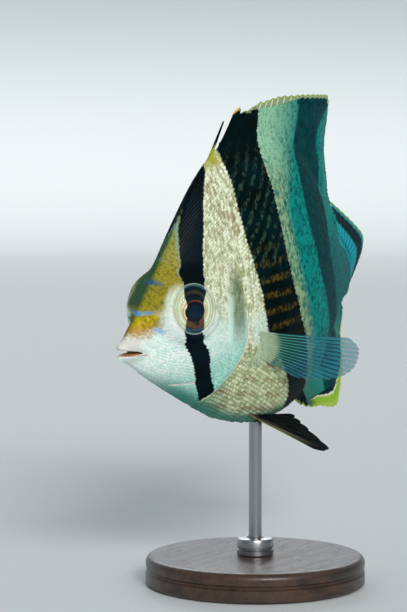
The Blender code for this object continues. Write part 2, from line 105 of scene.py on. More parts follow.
class Finish:
    """One material: a Principled surface with constants, and one method that adds a node."""

    def __init__(self, name, **constants):
        self.material = bpy.data.materials.new(name)
        self.material.use_nodes = True
        self.tree = self.material.node_tree
        self.surface = self.tree.nodes["Principled BSDF"]
        self.wire(self.surface, {key.replace("_", " "): value for key, value in constants.items()})

    def wire(self, node, sockets):
        """Links or values on a node's sockets, by name or number."""
        for key, value in sockets.items():
            if isinstance(value, Shade):
                self.tree.links.new(value.socket, node.inputs[key])
            else:
                node.inputs[key].default_value = value

    def node(self, kind, settings, sockets, output=0):
        """Adds a node: its type, its settings first, then values or links on its sockets."""
        made = self.tree.nodes.new(kind)
        for key, value in settings.items():
            setattr(made, key, value)
        self.wire(made, sockets)
        return Shade(self, made.outputs[output])

    def maths(self, operation, first, second):
        """One operation on two numbers or links."""
        return self.node("ShaderNodeMath", {"operation": operation}, {0: first, 1: second})

    def mix(self, factor, under, over):
        """The over colour laid on the under colour by a factor; a code is a screen colour."""
        under, over = [paint(colour) if isinstance(colour, str) else colour for colour in (under, over)]
        return self.node("ShaderNodeMix", {"data_type": "RGBA"}, {0: factor, 6: under, 7: over}, 2)

    def coats(self, colour, *coats):
        """Coats of paint laid one on another over a colour, each a factor and its own colour."""
        for factor, over in coats:
            colour = self.mix(factor, colour, over)
        return colour

    def noise(self, where, scale, detail=2.0):
        """Soft grain about one half, its cells one over the scale across."""
        return self.node("ShaderNodeTexNoise", {}, {"Vector": where, "Scale": scale, "Detail": detail})

    def spot(self):
        """Place on the piece, in metres."""
        return self.node("ShaderNodeTexCoord", {}, {}, 3)

    def stretched(self, scale):
        """Place on the piece, each of its numbers times its own scale."""
        return self.node("ShaderNodeMapping", {}, {"Vector": self.spot(), "Scale": scale})

    def numbers(self, name):
        """The three numbers of a piece's attribute."""
        told = self.node("ShaderNodeAttribute", {"attribute_name": name}, {}, 1)
        split = self.node("ShaderNodeSeparateXYZ", {}, {0: told}).socket.node
        return [Shade(self, socket) for socket in split.outputs]

    def close(self, **sockets):
        """Links what varies over the surface to the Principled sockets of these names."""
        self.wire(self.surface, {key.replace("_", " "): value for key, value in sockets.items()})
        return self

    def bump(self, height, distance, strength=1.0):
        """Normals as if the surface rose by the height times the distance."""
        sockets = {"Height": height, "Distance": distance, "Strength": strength}
        return self.node("ShaderNodeBump", {}, sockets)


def paint(code):
    """Linear colour of a six-digit screen colour."""
    screen = np.array([int(code[k:k + 2], 16) / 255 for k in (0, 2, 4)])
    linear = np.where(screen > 0.04045, ((screen + 0.055) / 1.055) ** 2.4, screen / 12.92)
    return (*[float(v) for v in linear], 1.0)


def grid_faces(rows, columns, wrap=False, loop=False):
    """Two triangles for each cell of a grid of points.

    Wrap joins the last column to the first, and loop the last row to the first.
    """
    number = np.arange(rows * columns).reshape(rows, columns)
    if wrap:
        number = np.concatenate([number, number[:, :1]], 1)
    if loop:
        number = np.concatenate([number, number[:1]])
    a, b = number[:-1, :-1].ravel(), number[1:, :-1].ravel()
    c, d = number[1:, 1:].ravel(), number[:-1, 1:].ravel()
    return np.concatenate([np.stack([a, b, c], 1), np.stack([a, c, d], 1)])


def cap_faces(ring, pole):
    """Triangles that close a ring of point numbers on one pole."""
    return np.stack([ring, np.roll(ring, -1), np.full(len(ring), pole)], 1)


def ring_faces(rows, around):
    """Faces of a stack of rings, its ends closed on two poles numbered after the rings' points."""
    count = rows * around
    first = np.arange(around)
    return np.concatenate([grid_faces(rows, around, wrap=True), cap_faces(first, count),
                           cap_faces(first[::-1] + count - around, count + 1)])


def set_down(name, data):
    """An object of this name in the scene, at the origin."""
    made = bpy.data.objects.new(name, data)
    bpy.context.scene.collection.objects.link(made)
    return made


def piece(name, points, faces, finish, crease=50.0, **told):
    """A closed mesh in its place, facing outwards, with what its paint reads as point attributes."""
    corners = points[faces] - points.mean(0)
    if np.einsum("ij,ij->i", corners[:, 0], np.cross(corners[:, 1], corners[:, 2])).sum() < 0:
        faces = faces[:, ::-1]
    mesh = bpy.data.meshes.new(name)
    mesh.from_pydata(points.tolist(), [], faces.tolist())
    for key, values in told.items():
        attribute = mesh.attributes.new(key, "FLOAT_VECTOR", "POINT")
        attribute.data.foreach_set("vector", np.ascontiguousarray(values, dtype=np.float32).ravel())
    mesh.shade_smooth()
    mesh.set_sharp_from_angle(angle=math.radians(crease))
    mesh.materials.append(finish.material)
    made = set_down(name, mesh)
    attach(made, "root")
    return made


def turned(name, profile, around, finish, node):
    """Solid of revolution about Z: radius and height along a profile that ends on the axis."""
    profile = np.array(profile, float)
    radius, height = profile[1:-1].T[..., None]
    angle = np.linspace(0, 2 * math.pi, around, endpoint=False)[None, :]
    rings = np.stack([radius * np.cos(angle), radius * np.sin(angle), height + 0 * angle], -1)
    poles = [[0, 0, profile[0, 1]], [0, 0, profile[-1, 1]]]
    made = piece(name, np.concatenate([rings.reshape(-1, 3), poles]), ring_faces(len(radius), around),
                 finish, crease=35.0)
    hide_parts(node)


def walnut():
    """Dark walnut: long pores and growth bands along X, satin where the oil has filled it."""
    wood = Finish("oiled_walnut", Coat_Weight=0.35, Coat_Roughness=0.25)
    bend = wood.noise(wood.stretched((18, 60, 60)), 1.0, 3.0)
    bands = wood.noise(wood.stretched((25, 420, 420)), 1.0, 4.0)
    pores = wood.noise(wood.stretched((260, 3800, 3800)), 1.0, 2.0).ramp(0.56, 0.66)
    colour = wood.mix((bands + bend * 0.6).ramp(0.62, 1.0), "4a2f1e", "24150d")
    return wood.close(Base_Color=wood.mix(pores * 0.7, colour, "120a06"),
                      Roughness=0.38 + pores * 0.2 + bands * 0.1, Normal=wood.bump(1 - pores, 0.00005, 0.5))


arc = np.radians(np.linspace(0, 90, 9))
foot = [(0.0, 0.0), (BASE_RADIUS - BASE_EASE, 0.0), (BASE_RADIUS, BASE_EASE)]
foot += [(BASE_RADIUS - inset, height) for inset, height in BASE_BEAD]
foot += [(BASE_RADIUS - BASE_ROUND * (1 - math.cos(a)), BASE_HEIGHT - BASE_ROUND * (1 - math.sin(a)))
         for a in arc]
foot += [(BASE_RADIUS * share, BASE_HEIGHT) for share in (0.86, 0.6, 0.3, 0.1, 0.0)]
turned("base_disc", foot, 128, walnut(), "stand_base")


# Collar and rod.  Both are turned from stainless steel and drawn along the rod with fine
# cloth; the collar is pressed into the base, and the rod reaches up to the belly.
COLLAR_RADIUS = 0.0045
COLLAR_GROOVE = ((0.0, 0.0010), (0.0003, 0.0012), (0.0003, 0.0015), (0.0, 0.0017))
COLLAR_ROUND = ((0.0, 0.0007), (0.0002, 0.0002), (0.0007, 0.0))
ROD_RADIUS = 0.0016
ROD_SINK = 0.0008
ROD_EASE = 0.0002


def brushed_steel(name, along):
    """Steel with fine drawn lines, which run round a collar or along a rod."""
    steel = Finish(name, Metallic=1.0)
    lines = steel.noise(steel.stretched(along), 1.0, 3.0)
    smear = steel.noise(steel.spot(), 300.0)
    colour = steel.mix(lines, "b9babb", "8f9192")
    return steel.close(Base_Color=colour, Roughness=0.22 + lines * 0.12 + smear * 0.08,
                       Normal=steel.bump(lines, 0.00002, 0.4))


collar_low, collar_high = [corner[2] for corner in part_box("stand_collar")]
ring = [(0.0, collar_low), (COLLAR_RADIUS, collar_low)]
ring += [(COLLAR_RADIUS - inset, collar_low + rise) for inset, rise in COLLAR_GROOVE]
ring += [(COLLAR_RADIUS - inset, collar_high - drop) for inset, drop in COLLAR_ROUND]
ring += [(ROD_RADIUS + 0.0006, collar_high), (ROD_RADIUS + 0.0002, collar_high - 0.0003),
         (0.0, collar_high - 0.0003)]
turned("rod_collar", ring, 96, brushed_steel("turned_steel", (200, 200, 26000)), "stand_collar")
rod_low, rod_high = [corner[2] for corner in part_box("stand_rod")]
rod = [(0.0, rod_low - ROD_SINK), (ROD_RADIUS, rod_low - ROD_SINK), (ROD_RADIUS, rod_high - ROD_EASE),
       (ROD_RADIUS - ROD_EASE, rod_high), (0.0, rod_high)]
turned("support_rod", rod, 64, brushed_steel("drawn_steel", (16000, 16000, 300)), "stand_rod")


# Skin.  One unbroken skin from the lips to the tail, thin and wet, with the flap of each
# gill cover, the orbits, nostrils and creases of the jaws.  It lies under the scales.
STANDARD_LENGTH = 0.108
AXIS_HEIGHT = 0.0662
ROD_STATION = 0.47
HEAD_DOWN = math.radians(7.0)
# Stations of the bent axis, and how many degrees it turns away from straight ahead at each
BEND_STATIONS = (0.12, 0.62, 1.15)
BEND_TURNS = (7.9, -5.9, -18.9)
# Height of back and belly, half width, and level of the widest part, station by station
STATIONS = (0.0, 0.05, 0.10, 0.20, 0.30, 0.36, 0.43, 0.52, 0.62, 0.72, 0.82, 0.90, 0.96, 1.0)
BACK = (0.012, 0.060, 0.118, 0.243, 0.352, 0.388, 0.402, 0.402, 0.385, 0.335, 0.250, 0.155, 0.092, 0.075)
BELLY = (-0.014, -0.050, -0.086, -0.152, -0.206, -0.224, -0.237, -0.240,
         -0.228, -0.195, -0.135, -0.078, -0.048, -0.042)
HALF_WIDTH = (0.007, 0.025, 0.045, 0.079, 0.091, 0.096, 0.100, 0.098,
              0.088, 0.072, 0.052, 0.036, 0.026, 0.021)
WIDEST = (0.0, 0.004, 0.010, 0.034, 0.040, 0.040, 0.040, 0.040, 0.040, 0.040, 0.038, 0.036, 0.026, 0.017)
# How full a section is above and below: half width over the seat, and powers along its height
SEAT_HALF = 0.009
FULLNESS_STATIONS = (0.0, 0.30, 0.50, 0.65, 1.0)
BACK_FULLNESS = (0.62, 0.74, 0.95, 1.0, 1.0)
BREAST_FULLNESS = (0.60, 0.58, 0.70, 0.90, 1.0)
SECTION_POWER = 1.85
RIDGE_POWER = 16
SCALE_DEPTH = 0.0024
# Gill cover: its free edge at each level, how far it stands off, and the fold across it
GILL_LEVELS = (-0.170, -0.155, -0.139, -0.105, -0.057, 0.010, 0.089, 0.160, 0.250, 0.400)
GILL_EDGE = (0.195, 0.202, 0.216, 0.2475, 0.291, 0.310, 0.300, 0.301, 0.312, 0.330)
GILL_RISE = 0.006
GILL_SWELL = (0.045, 0.012)
FOLD_RISE = 0.003
FOLD_HALF = 0.009
FOLD_STATION = 0.255
FOLD_LEVEL = 0.01
FOLD_CURVE = 1.6
EYE = (0.154, 0.071)
EYE_RADIUS = 0.0545
EYE_DEPTH = 0.0290
EYE_OUT = 0.0710
EYE_FORWARD = math.radians(12.0)
EYE_UP = math.radians(6.0)
ORBIT_OUT = 0.078
ORBIT_FLAT = (0.056, 0.080)
ORBIT_CLEAR = 0.80
ORBIT_RISE = 0.010
ORBIT_RING = (0.052, 0.026)
BROW_LIFT = 0.008
LIP_RISE = 0.0060
LIP_HALF = 0.008
LIP_FADE = (0.030, 0.065)
MOUTH_CORNER = 0.061
MOUTH_LEVEL = -0.002
MOUTH_SLOPE = 0.12
MOUTH_GAPE = 0.0130
# Station, height and radius of each nostril; ends and depth of each crease of the jaws
NOSTRILS = ((0.0815, 0.0700, 0.0040), (0.0900, 0.0770, 0.0034))
NOSTRIL_DEPTH = 0.0065
NOSTRIL_RIM = 0.0016
# Middle and half breadth of a nostril's rim, in its own radii
RIM_AT = 1.5
RIM_HALF = 0.4
JAW_CREASES = (((0.051, -0.008), (0.070, -0.032), 0.0030), ((0.060, 0.008), (0.078, -0.010), 0.0022),
               ((0.122, -0.0915), (0.178, -0.0965), 0.0034), ((0.030, -0.030), (0.075, -0.054), 0.0016))
CREASE_HALF = 0.0035
SNOUT_JOIN = 0.094
SNOUT_KNOTS = (0.0, 0.07, 0.17, 0.34, 0.64, 1.0)
SNOUT_RINGS = 64
SNOUT_CROWD = 1.2
LIP_TIP = 0.0015
LIP_APART = 0.0003
# How far each ring of the mouth lies inward, how far it sinks to the slit, and how much of the inside's tan,
# painted light, it takes
MOUTH_RINGS = ((1.0, 0.95, 1.0), (0.8, 0.7, 0.9), (0.5, 0.35, 0.8), (0.22, 0.05, 0.65), (0.06, -0.05, 0.45))
THROAT_REACH = 0.85
THROAT_PINCH = 1.3
HALF_RING = 150
BODY_RINGS = 112
SETTLING_STEPS = 60
FACE_START = 0.002
TRUNK_START = 0.004
SKIN_END = 0.998
FLAP_EDGE = 0.0006
FLAP_FOLD = 0.006
FLAP_TUCK = 0.004
SOCKET_DEPTH = 0.046
SOCKET_WALL = (0.046, 0.0535)


def smooth(at, stations, values):
    """Cubic curve through the values, each station's slope taken from its neighbours."""
    x = np.asarray(stations, float)
    y = np.asarray(values, float)
    slope = np.gradient(y, x)
    at = np.clip(at, x[0], x[-1])
    k = np.clip(np.searchsorted(x, at, side="right") - 1, 0, len(x) - 2)
    step = x[k + 1] - x[k]
    t = (at - x[k]) / step
    rise = y[k] * (1 + 2 * t) * (1 - t) ** 2 + y[k + 1] * t * t * (3 - 2 * t)
    return rise + step * (slope[k] * t * (1 - t) ** 2 - slope[k + 1] * t * t * (1 - t))


def ramp(at, start, end):
    """Zero before start, one after end, a smooth step between."""
    t = np.clip((np.asarray(at, float) - start) / (end - start), 0, 1)
    return t * t * (3 - 2 * t)


BEND = np.polyfit(BEND_STATIONS, BEND_TURNS, 2)
AXIS_S = np.linspace(-0.1, 1.4, 601)


def turn(s):
    """Angle of the fish's forward direction from -X, towards its right."""
    return np.radians(np.polyval(BEND, np.clip(s, BEND_STATIONS[0], BEND_STATIONS[-1])))


def run_sum(rate):
    """Running sum of a rate along the axis, zero over the rod."""
    steps = (rate[1:] + rate[:-1]) / 2 * np.diff(AXIS_S)
    total = np.concatenate([[0.0], np.cumsum(steps)])
    return total - np.interp(ROD_STATION, AXIS_S, total)


AXIS_BACK = run_sum(np.cos(turn(AXIS_S)))
AXIS_SIDE = run_sum(-np.sin(turn(AXIS_S)))


def place(points):
    """World places of points given as s, z, w: set square on the bent axis, then pitched."""
    s, z, w = np.moveaxis(np.asarray(points, float), -1, 0)
    back = np.interp(s, AXIS_S, AXIS_BACK) - w * np.sin(turn(s))
    side = np.interp(s, AXIS_S, AXIS_SIDE) - w * np.cos(turn(s))
    x = back * math.cos(HEAD_DOWN) - z * math.sin(HEAD_DOWN)
    up = z * math.cos(HEAD_DOWN) + back * math.sin(HEAD_DOWN)
    return np.stack([x, side, up + AXIS_HEIGHT / STANDARD_LENGTH], -1) * STANDARD_LENGTH


def back_line(s):
    """Height of the back at a station."""
    return smooth(s, STATIONS, BACK)


def belly_line(s):
    """Height of the belly at a station."""
    return smooth(s, STATIONS, BELLY)


def gill_edge(z):
    """Station of the gill cover's free edge at a height."""
    return smooth(z, GILL_LEVELS, GILL_EDGE)


def cover_level(z):
    """One along the height of the gill cover, fading to zero above and below it."""
    return ramp(z, -0.15, -0.10) * (1 - ramp(z, 0.10, 0.16))


def from_line(s, z, start, end):
    """Distance from a short straight line on the flank."""
    (s0, z0), (s1, z1) = start, end
    t = np.clip(((s - s0) * (s1 - s0) + (z - z0) * (z1 - z0)) / ((s1 - s0) ** 2 + (z1 - z0) ** 2), 0, 1)
    return np.hypot(s - s0 - t * (s1 - s0), z - z0 - t * (z1 - z0))


def relief(s, z):
    """What stands off the plain body: orbits, gill covers, lips; and pits and creases in it."""
    ring, fade = ORBIT_RING
    from_eye = np.hypot(s - EYE[0], z - EYE[1] - BROW_LIFT)
    rise = ORBIT_RISE * np.exp(-(np.maximum(from_eye - ring, 0) / fade) ** 2)
    level = cover_level(z)
    edge = gill_edge(z)
    rise = rise + GILL_RISE * level * ramp(s, edge - GILL_SWELL[0], edge - GILL_SWELL[1]) * (s < edge)
    fold = FOLD_STATION - FOLD_CURVE * (z - FOLD_LEVEL) ** 2
    rise = rise + FOLD_RISE * level * np.exp(-((s - fold) / FOLD_HALF) ** 2)
    from_mouth = np.abs(z - MOUTH_LEVEL + MOUTH_SLOPE * s)
    rise = rise + LIP_RISE * np.exp(-((from_mouth - LIP_HALF) / LIP_HALF) ** 2) * (1 - ramp(s, *LIP_FADE))
    for pit_s, pit_z, radius in NOSTRILS:
        away = np.hypot(s - pit_s, z - pit_z)
        rim = np.exp(-((away / radius - RIM_AT) / RIM_HALF) ** 2)
        rise = rise - NOSTRIL_DEPTH * np.exp(-(away / radius) ** 4) + NOSTRIL_RIM * rim
    for start, end, depth in JAW_CREASES:
        rise = rise - depth * np.exp(-(from_line(s, z, start, end) / CREASE_HALF) ** 2)
    return rise


def width(s, z, end_share):
    """Half width of the skin, rounded off where a section closes on the middle line.

    Near an eye it is drawn onto the tilted plane that the eye is set in.
    """
    level = smooth(s, STATIONS, WIDEST)
    upper = z > level
    reach = np.where(upper, back_line(s) - level, level - belly_line(s))
    height = np.clip(np.abs(z - level) / reach, 0, 1)
    widest = smooth(s, STATIONS, HALF_WIDTH)
    seat = np.minimum(SEAT_HALF, 0.45 * widest)
    above = smooth(s, FULLNESS_STATIONS, BACK_FULLNESS)
    below = smooth(s, FULLNESS_STATIONS, BREAST_FULLNESS)
    plain = seat + (widest - seat) * (1 - height ** SECTION_POWER) ** np.where(upper, above, below)
    half = plain + relief(s, z)
    plane = ORBIT_OUT + math.tan(EYE_FORWARD) * (s - EYE[0]) - math.tan(EYE_UP) * (z - EYE[1])
    pull = (1 - ramp(np.hypot(s - EYE[0], z - EYE[1]), *ORBIT_FLAT)) * (1 - ramp(height, ORBIT_CLEAR, 1))
    half = half + (plane - half) * pull
    closing = np.sqrt(np.clip(1 - end_share ** RIDGE_POWER, 0, 1))
    return (half - SCALE_DEPTH * ramp(s, 0.02, 0.08)) * closing


def flank(s, v):
    """A point of the left flank at a station, v running from 0 at the back to 1 at the belly."""
    level = smooth(s, STATIONS, WIDEST)
    swing = np.cos(math.pi * v)
    z = level + np.where(swing > 0, swing * (back_line(s) - level), swing * (level - belly_line(s)))
    return np.stack([s + 0 * v, z, width(s, z, np.abs(swing))], -1)


# Level, front edge and rear edge of each dark bar
EYE_BAR = ((-0.170, 0.204, 0.205), (-0.141, 0.202, 0.206), (-0.130, 0.195, 0.221), (-0.118, 0.188, 0.222),
           (-0.105, 0.180, 0.217), (-0.085, 0.172, 0.210), (-0.061, 0.164, 0.203), (-0.030, 0.152, 0.197),
           (0.000, 0.134, 0.178), (0.029, 0.121, 0.164), (0.075, 0.124, 0.174), (0.124, 0.136, 0.193),
           (0.143, 0.147, 0.203), (0.160, 0.162, 0.210), (0.180, 0.170, 0.216), (0.227, 0.192, 0.235),
           (0.276, 0.226, 0.257), (0.304, 0.247, 0.272), (0.330, 0.266, 0.289), (0.360, 0.283, 0.309),
           (0.400, 0.296, 0.318))
BAR_2 = ((-0.260, 0.560, 0.700), (-0.218, 0.532, 0.658), (-0.164, 0.493, 0.603), (-0.130, 0.464, 0.581),
         (-0.101, 0.440, 0.564), (-0.050, 0.400, 0.535), (-0.007, 0.373, 0.510), (0.031, 0.367, 0.497),
         (0.059, 0.363, 0.486), (0.093, 0.356, 0.479), (0.130, 0.348, 0.474), (0.172, 0.341, 0.474),
         (0.215, 0.337, 0.475), (0.251, 0.338, 0.480), (0.286, 0.342, 0.486), (0.324, 0.345, 0.489),
         (0.355, 0.349, 0.493), (0.391, 0.354, 0.510), (0.422, 0.350, 0.523), (0.500, 0.330, 0.540))
BAR_3 = ((-0.300, 0.800, 1.010), (-0.200, 0.775, 0.980), (-0.120, 0.748, 0.900), (-0.066, 0.719, 0.830),
         (0.000, 0.671, 0.768), (0.042, 0.647, 0.750), (0.084, 0.632, 0.737), (0.123, 0.626, 0.745),
         (0.162, 0.618, 0.762), (0.211, 0.620, 0.800), (0.254, 0.630, 0.832), (0.305, 0.655, 0.840),
         (0.354, 0.690, 0.834), (0.390, 0.706, 0.862), (0.418, 0.722, 0.930), (0.450, 0.738, 1.030),
         (0.500, 0.750, 1.060))


def notes(points, tone=0.5, edge=0.0, ridge=0.0):
    """What the paint reads: place on the fish, depth inside each bar, and the fine grain."""
    s, z, w = np.moveaxis(points, -1, 0)
    fronts, rears = [], []
    for bar in (EYE_BAR, BAR_2, BAR_3):
        levels, front, rear = zip(*bar)
        fronts.append(smooth(z, levels, front))
        rears.append(smooth(z, levels, rear))
    inside = [np.minimum(s - front, rear - s) for front, rear in zip(fronts, rears)]
    flat = 0 * s
    return dict(body=np.stack([s, z, w], -1), bars=np.stack(inside, -1),
                zones=np.stack([fronts[0] - s, s - rears[1], gill_edge(z) - s], -1),
                grain=np.stack([flat + tone, flat + edge, flat + ridge], -1))


# Level, half height, rear end and colour of the blue streaks across the brow
BROW_STREAKS = ((0.1330, 0.0046, 0.120, "2b6391"), (0.1760, 0.0026, 0.150, "6d9aa4"),
                (0.0722, 0.0026, 0.086, "5b9fd2"))


def living_colour(finish):
    """The fish's colours and bars, with painted shade and painted light, the same on skin, scales and fins.
    """
    mix = finish.mix
    coats = finish.coats
    s, z, leftward = finish.numbers("body")
    w = abs(leftward)
    eye_bar, bar_2, bar_3 = finish.numbers("bars")
    ahead, behind, gill = finish.numbers("zones")
    tone, edge, _ = finish.numbers("grain")
    spot = finish.spot()
    speck = finish.noise(spot, 1300.0)
    fine = finish.noise(spot, 2600.0, 1.0)
    cloud = finish.noise(spot, 140.0)
    strokes = finish.noise(finish.stretched((1500, 1500, 420)), 1.0, 1.0)
    grit = speck - 0.5
    drift = cloud - 0.5
    jitter = grit * 0.008

    # Cream ground, freckled with rust, darker low on the flank and along each scale's edge
    cream = mix((tone * 0.35 + strokes * 1.15).ramp(0.50, 1.05), "f6fde0", "adb388")
    rust = (strokes * 0.6 + cloud * 0.8).ramp(0.66, 0.90) * behind.ramp(-0.30, -0.10)
    colour = coats(cream, ((0.16 - z).ramp(0.0, 0.16) * (0.0 - gill).ramp(0.02, 0.10) * 0.35, "93966a"),
                   (rust * 0.75, "9a6f4c"), (edge.ramp(0.55, 1.0) * 0.40, "6d6440"))

    # Blue-green rear, partly painted shade that deepens towards the tail and low down, with a paler strip
    # along the second bar that is greyer towards the back
    sea = mix((tone * 0.4 + strokes).ramp(0.5, 1.1), "0a9188", "024c4e")
    upper = mix((tone * 0.3 + strokes).ramp(0.55, 1.05), "9bcfa9", "5c9d85")
    strip = mix((tone * 0.3 + strokes * 1.1).ramp(0.50, 0.95), "98b58a", "2b7a66")
    strip = coats(strip, (z.ramp(0.26, 0.40), upper),
                  ((speck * 0.7 + cloud * 0.5).ramp(0.62, 0.85) * 0.5, "a1937a"))
    # Painted shade: the teal deepens further back, and is darker again low on the rear
    deepening_shade = (behind + jitter * 2.0).ramp(0.020, 0.062 + z.ramp(0.22, 0.40) * 0.18)
    colour = coats(colour, (behind.ramp(-0.004, 0.004), mix(deepening_shade, strip, sea)),
                   (behind.ramp(0.12, 0.28) * z.ramp(0.20, 0.05) * 0.6, "014a52"))

    # Breast in rows of pale scales with brown edges; the shoulder and the foot of the pectoral
    breast = (-0.015 - z).ramp(0.0, 0.06) * (0.0 - gill).ramp(-0.002, 0.004) * (0.0 - behind).ramp(0.0, 0.02)
    rows = (z + s * 0.25).wave(0.0335, 1.5).ramp(0.60, 0.95) * cloud.ramp(0.42, 0.58)
    shell = mix((tone * 0.6 + strokes * 0.6).ramp(0.35, 0.95), "e6eec2", "a2b282")
    shell = coats(shell, ((0.285 - s).ramp(0.0, 0.05) * 0.6, "8fb79a"),
                  (edge.ramp(0.50, 0.92) * (0.55 + rows * 0.4), "6d5c38"), (rows * 0.35, "8c5a34"))
    shoulder = (s - z * 0.62 + jitter).near(0.398, 0.026) * z.ramp(-0.102, -0.080) * z.ramp(0.030, 0.0)
    armpit = (s - 0.352).near(0.0, 0.022) * (z + 0.004).near(0.0, 0.022)
    colour = coats(colour, (breast, shell),
                   (shoulder * 0.8, mix(strokes.ramp(0.4, 0.7), "b9cfae", "86a184")),
                   (armpit * 0.8, mix(fine.ramp(0.4, 0.7), "e2f6ea", "b4d2bd")))

    # Silver cheek with painted blue-green shade towards the throat, a painted highlight along the cover's
    # ridge and a painted shadow in the hollow behind it
    cheek = (0.100 - z + drift * 0.10).ramp(0.0, 0.08) * gill.ramp(0.0, 0.01)
    silver = mix((tone * 0.25 + fine * 0.7 + speck * 0.5).ramp(0.50, 1.0), "fcfff9", "c3eae0")
    # Painted shade, blue-green, towards the throat
    shade = (s * 0.45 - z + drift * 0.04).ramp(0.066, 0.215)
    silver = coats(silver, (shade * 0.75, mix(fine.ramp(0.35, 0.65), "86d4c2", "56ad98")),
                   ((s - 0.195).ramp(0.0, 0.05) * z.ramp(-0.02, 0.05) * 0.5, "a9c2a2"))
    # Painted highlight down the gill cover's ridge
    ridge_highlight = (s - 0.257).near(0.0, 0.006) * z.ramp(-0.06, -0.01) * z.ramp(0.11, 0.07)
    shadow = (s - 0.281).near(0.0, 0.012) * z.ramp(-0.05, 0.03) * z.ramp(0.16, 0.10)
    colour = coats(colour, (cheek, silver), (ridge_highlight * 0.60, "d6f6e8"),
                   (shadow * (0.60 + strokes * 0.3), "57704f"))

    # Olive brow with painted dark green shade past the middle line, which also dims the pale skin there, and
    # whitish skin ahead of the eye, whiter below it as painted light
    front = ahead.ramp(-0.005, 0.0)
    # Painted shade: the far side of the head, past the middle line
    shaded_side = (0.010 - leftward).ramp(0.0, 0.020)
    from_eye = ((s - EYE[0]) ** 2.0 + (z - EYE[1]) ** 2.0) ** 0.5 + drift * 0.012
    pale = from_eye.ramp(0.070, 0.060) * w.ramp(0.044, 0.056) * z.ramp(0.135, 0.105)
    brow = front * z.ramp(0.068, 0.078) * (1 - pale * (0.85 - shaded_side * 0.6))
    # Painted shade, dark green, over the brow's far side
    shade_past_middle = (0.004 - leftward + drift * 0.010).ramp(-0.004, 0.014) * (leftward + 0.075).ramp(0.0, 0.030)
    olive = mix((z + jitter).ramp(0.13, 0.24), "ab9c2c", "9aa85c")
    olive = coats(olive, ((speck * 0.8 + fine * 0.4).ramp(0.50, 0.78) * 0.8, "565214"),
                  ((fine + cloud * 0.4).ramp(0.80, 0.95) * 0.7, "d2cf7c"),
                  (shade_past_middle * z.ramp(0.066, 0.090) * 0.9, mix(speck.ramp(0.4, 0.7), "04483a", "1c6340")))
    # Painted light: whiter skin ahead of and below the eye
    painted_light_by_eye = front * from_eye.ramp(0.084, 0.064) * z.ramp(0.085, 0.060)
    colour = coats(colour, (brow, olive),
                   (front * pale * (0.7 - shaded_side * 0.5), mix(fine.ramp(0.4, 0.7), "eef6ea", "c6dcc0")),
                   (painted_light_by_eye * 0.55, mix(fine.ramp(0.4, 0.7), "ffffff", "e6f4ee")))

    # Gold saddle of the snout with a frayed edge and painted shade on its far side, orange flecks below it,
    # and blue streaks
    frayed = z + grit * 0.030 + drift * 0.020
    gold = front * (s + grit * 0.02).ramp(0.092, 0.078) * z.ramp(0.080, 0.072)
    gold = gold * (frayed - s * 0.15).ramp(0.008, 0.036)
    saffron = mix((speck * 0.8 + cloud * 0.5).ramp(0.50, 0.85), "d6ba18", "7e7212")
    # The second coat is painted shade on the far side of the snout
    saffron = coats(saffron, (frayed.ramp(0.056, 0.030) * 0.75, "b07c2e"),
                    ((0.006 - leftward).ramp(-0.008, 0.014) * 0.8, "3f5f2c"))
    fan = (s * 700.0 + z * 260.0 + cloud * 6.0).wave(6.28)
    ember = front * s.ramp(0.080, 0.060) * s.ramp(0.024, 0.042) * z.ramp(0.004, 0.036) * z.ramp(0.056, 0.040)
    colour = coats(colour, (gold, saffron), (ember * (0.35 + fan * 0.25 + grit * 0.9), "c08a2c"))
    for level, half, reach, tint in BROW_STREAKS:
        streak = (z + grit * 0.010).near(level, half) * s.ramp(reach, reach - 0.010) * front
        colour = mix(streak * (0.45 + speck * 0.8), colour, tint)
    flash = (z + s * 0.55 + jitter * 0.5).near(0.0788, 0.0036) * s.near(0.083, 0.0070) * front

    # Whitish lips with a red line at the corner and painted shade on their far side, yellow nape, painted
    # green shade under the belly, and the pale rims
    snout = (s + drift * 0.016).ramp(0.052, 0.032) * frayed.ramp(0.032, 0.014) * z.ramp(-0.045, -0.020)
    lips = mix(cloud.ramp(0.35, 0.65), "efe6e0", "c2c4bc")
    # Painted shade on the far side of the lips
    lips = mix((0.004 - leftward).ramp(-0.006, 0.010) * 0.6, lips, "5d8466")
    corner = (z + s * 0.12 + 0.0078).near(0.0, 0.0008) * s.ramp(0.064, 0.056)
    nape = z.ramp(0.335, 0.372) * s.near(0.322, 0.020) * (0.024 - w).ramp(0.0, 0.012)
    # Painted shade, green, under the belly and chin
    under = (-0.03 - z).ramp(0.0, 0.10) * (0.044 - w).ramp(0.0, 0.028)
    rim = abs(gill).ramp(0.0042, 0.0018) * z.ramp(-0.15, -0.13) * z.ramp(0.15, 0.12)
    jaw = (z + s * 0.085).near(-0.0812, 0.0013) * s.ramp(0.118, 0.124) * s.ramp(0.182, 0.174)
    trim = ahead.near(0.0022, 0.0011) * z.ramp(0.125, 0.15)
    colour = coats(colour, (flash * 0.85, "9cc3ee"),
                   (snout * 0.85, mix(z.ramp(-0.004, -0.012), lips, "dcebe0")), (corner * 0.8, "c4552c"),
                   (nape * 0.9, "a8a72c"), (under * 0.85, "2f8577"),
                   (rim * 0.95, mix(z.ramp(0.01, 0.04), "f6efdc", "a5ad3c")), (jaw * 0.9, "fbf3e6"),
                   (trim * 0.5, "86b0b8"))

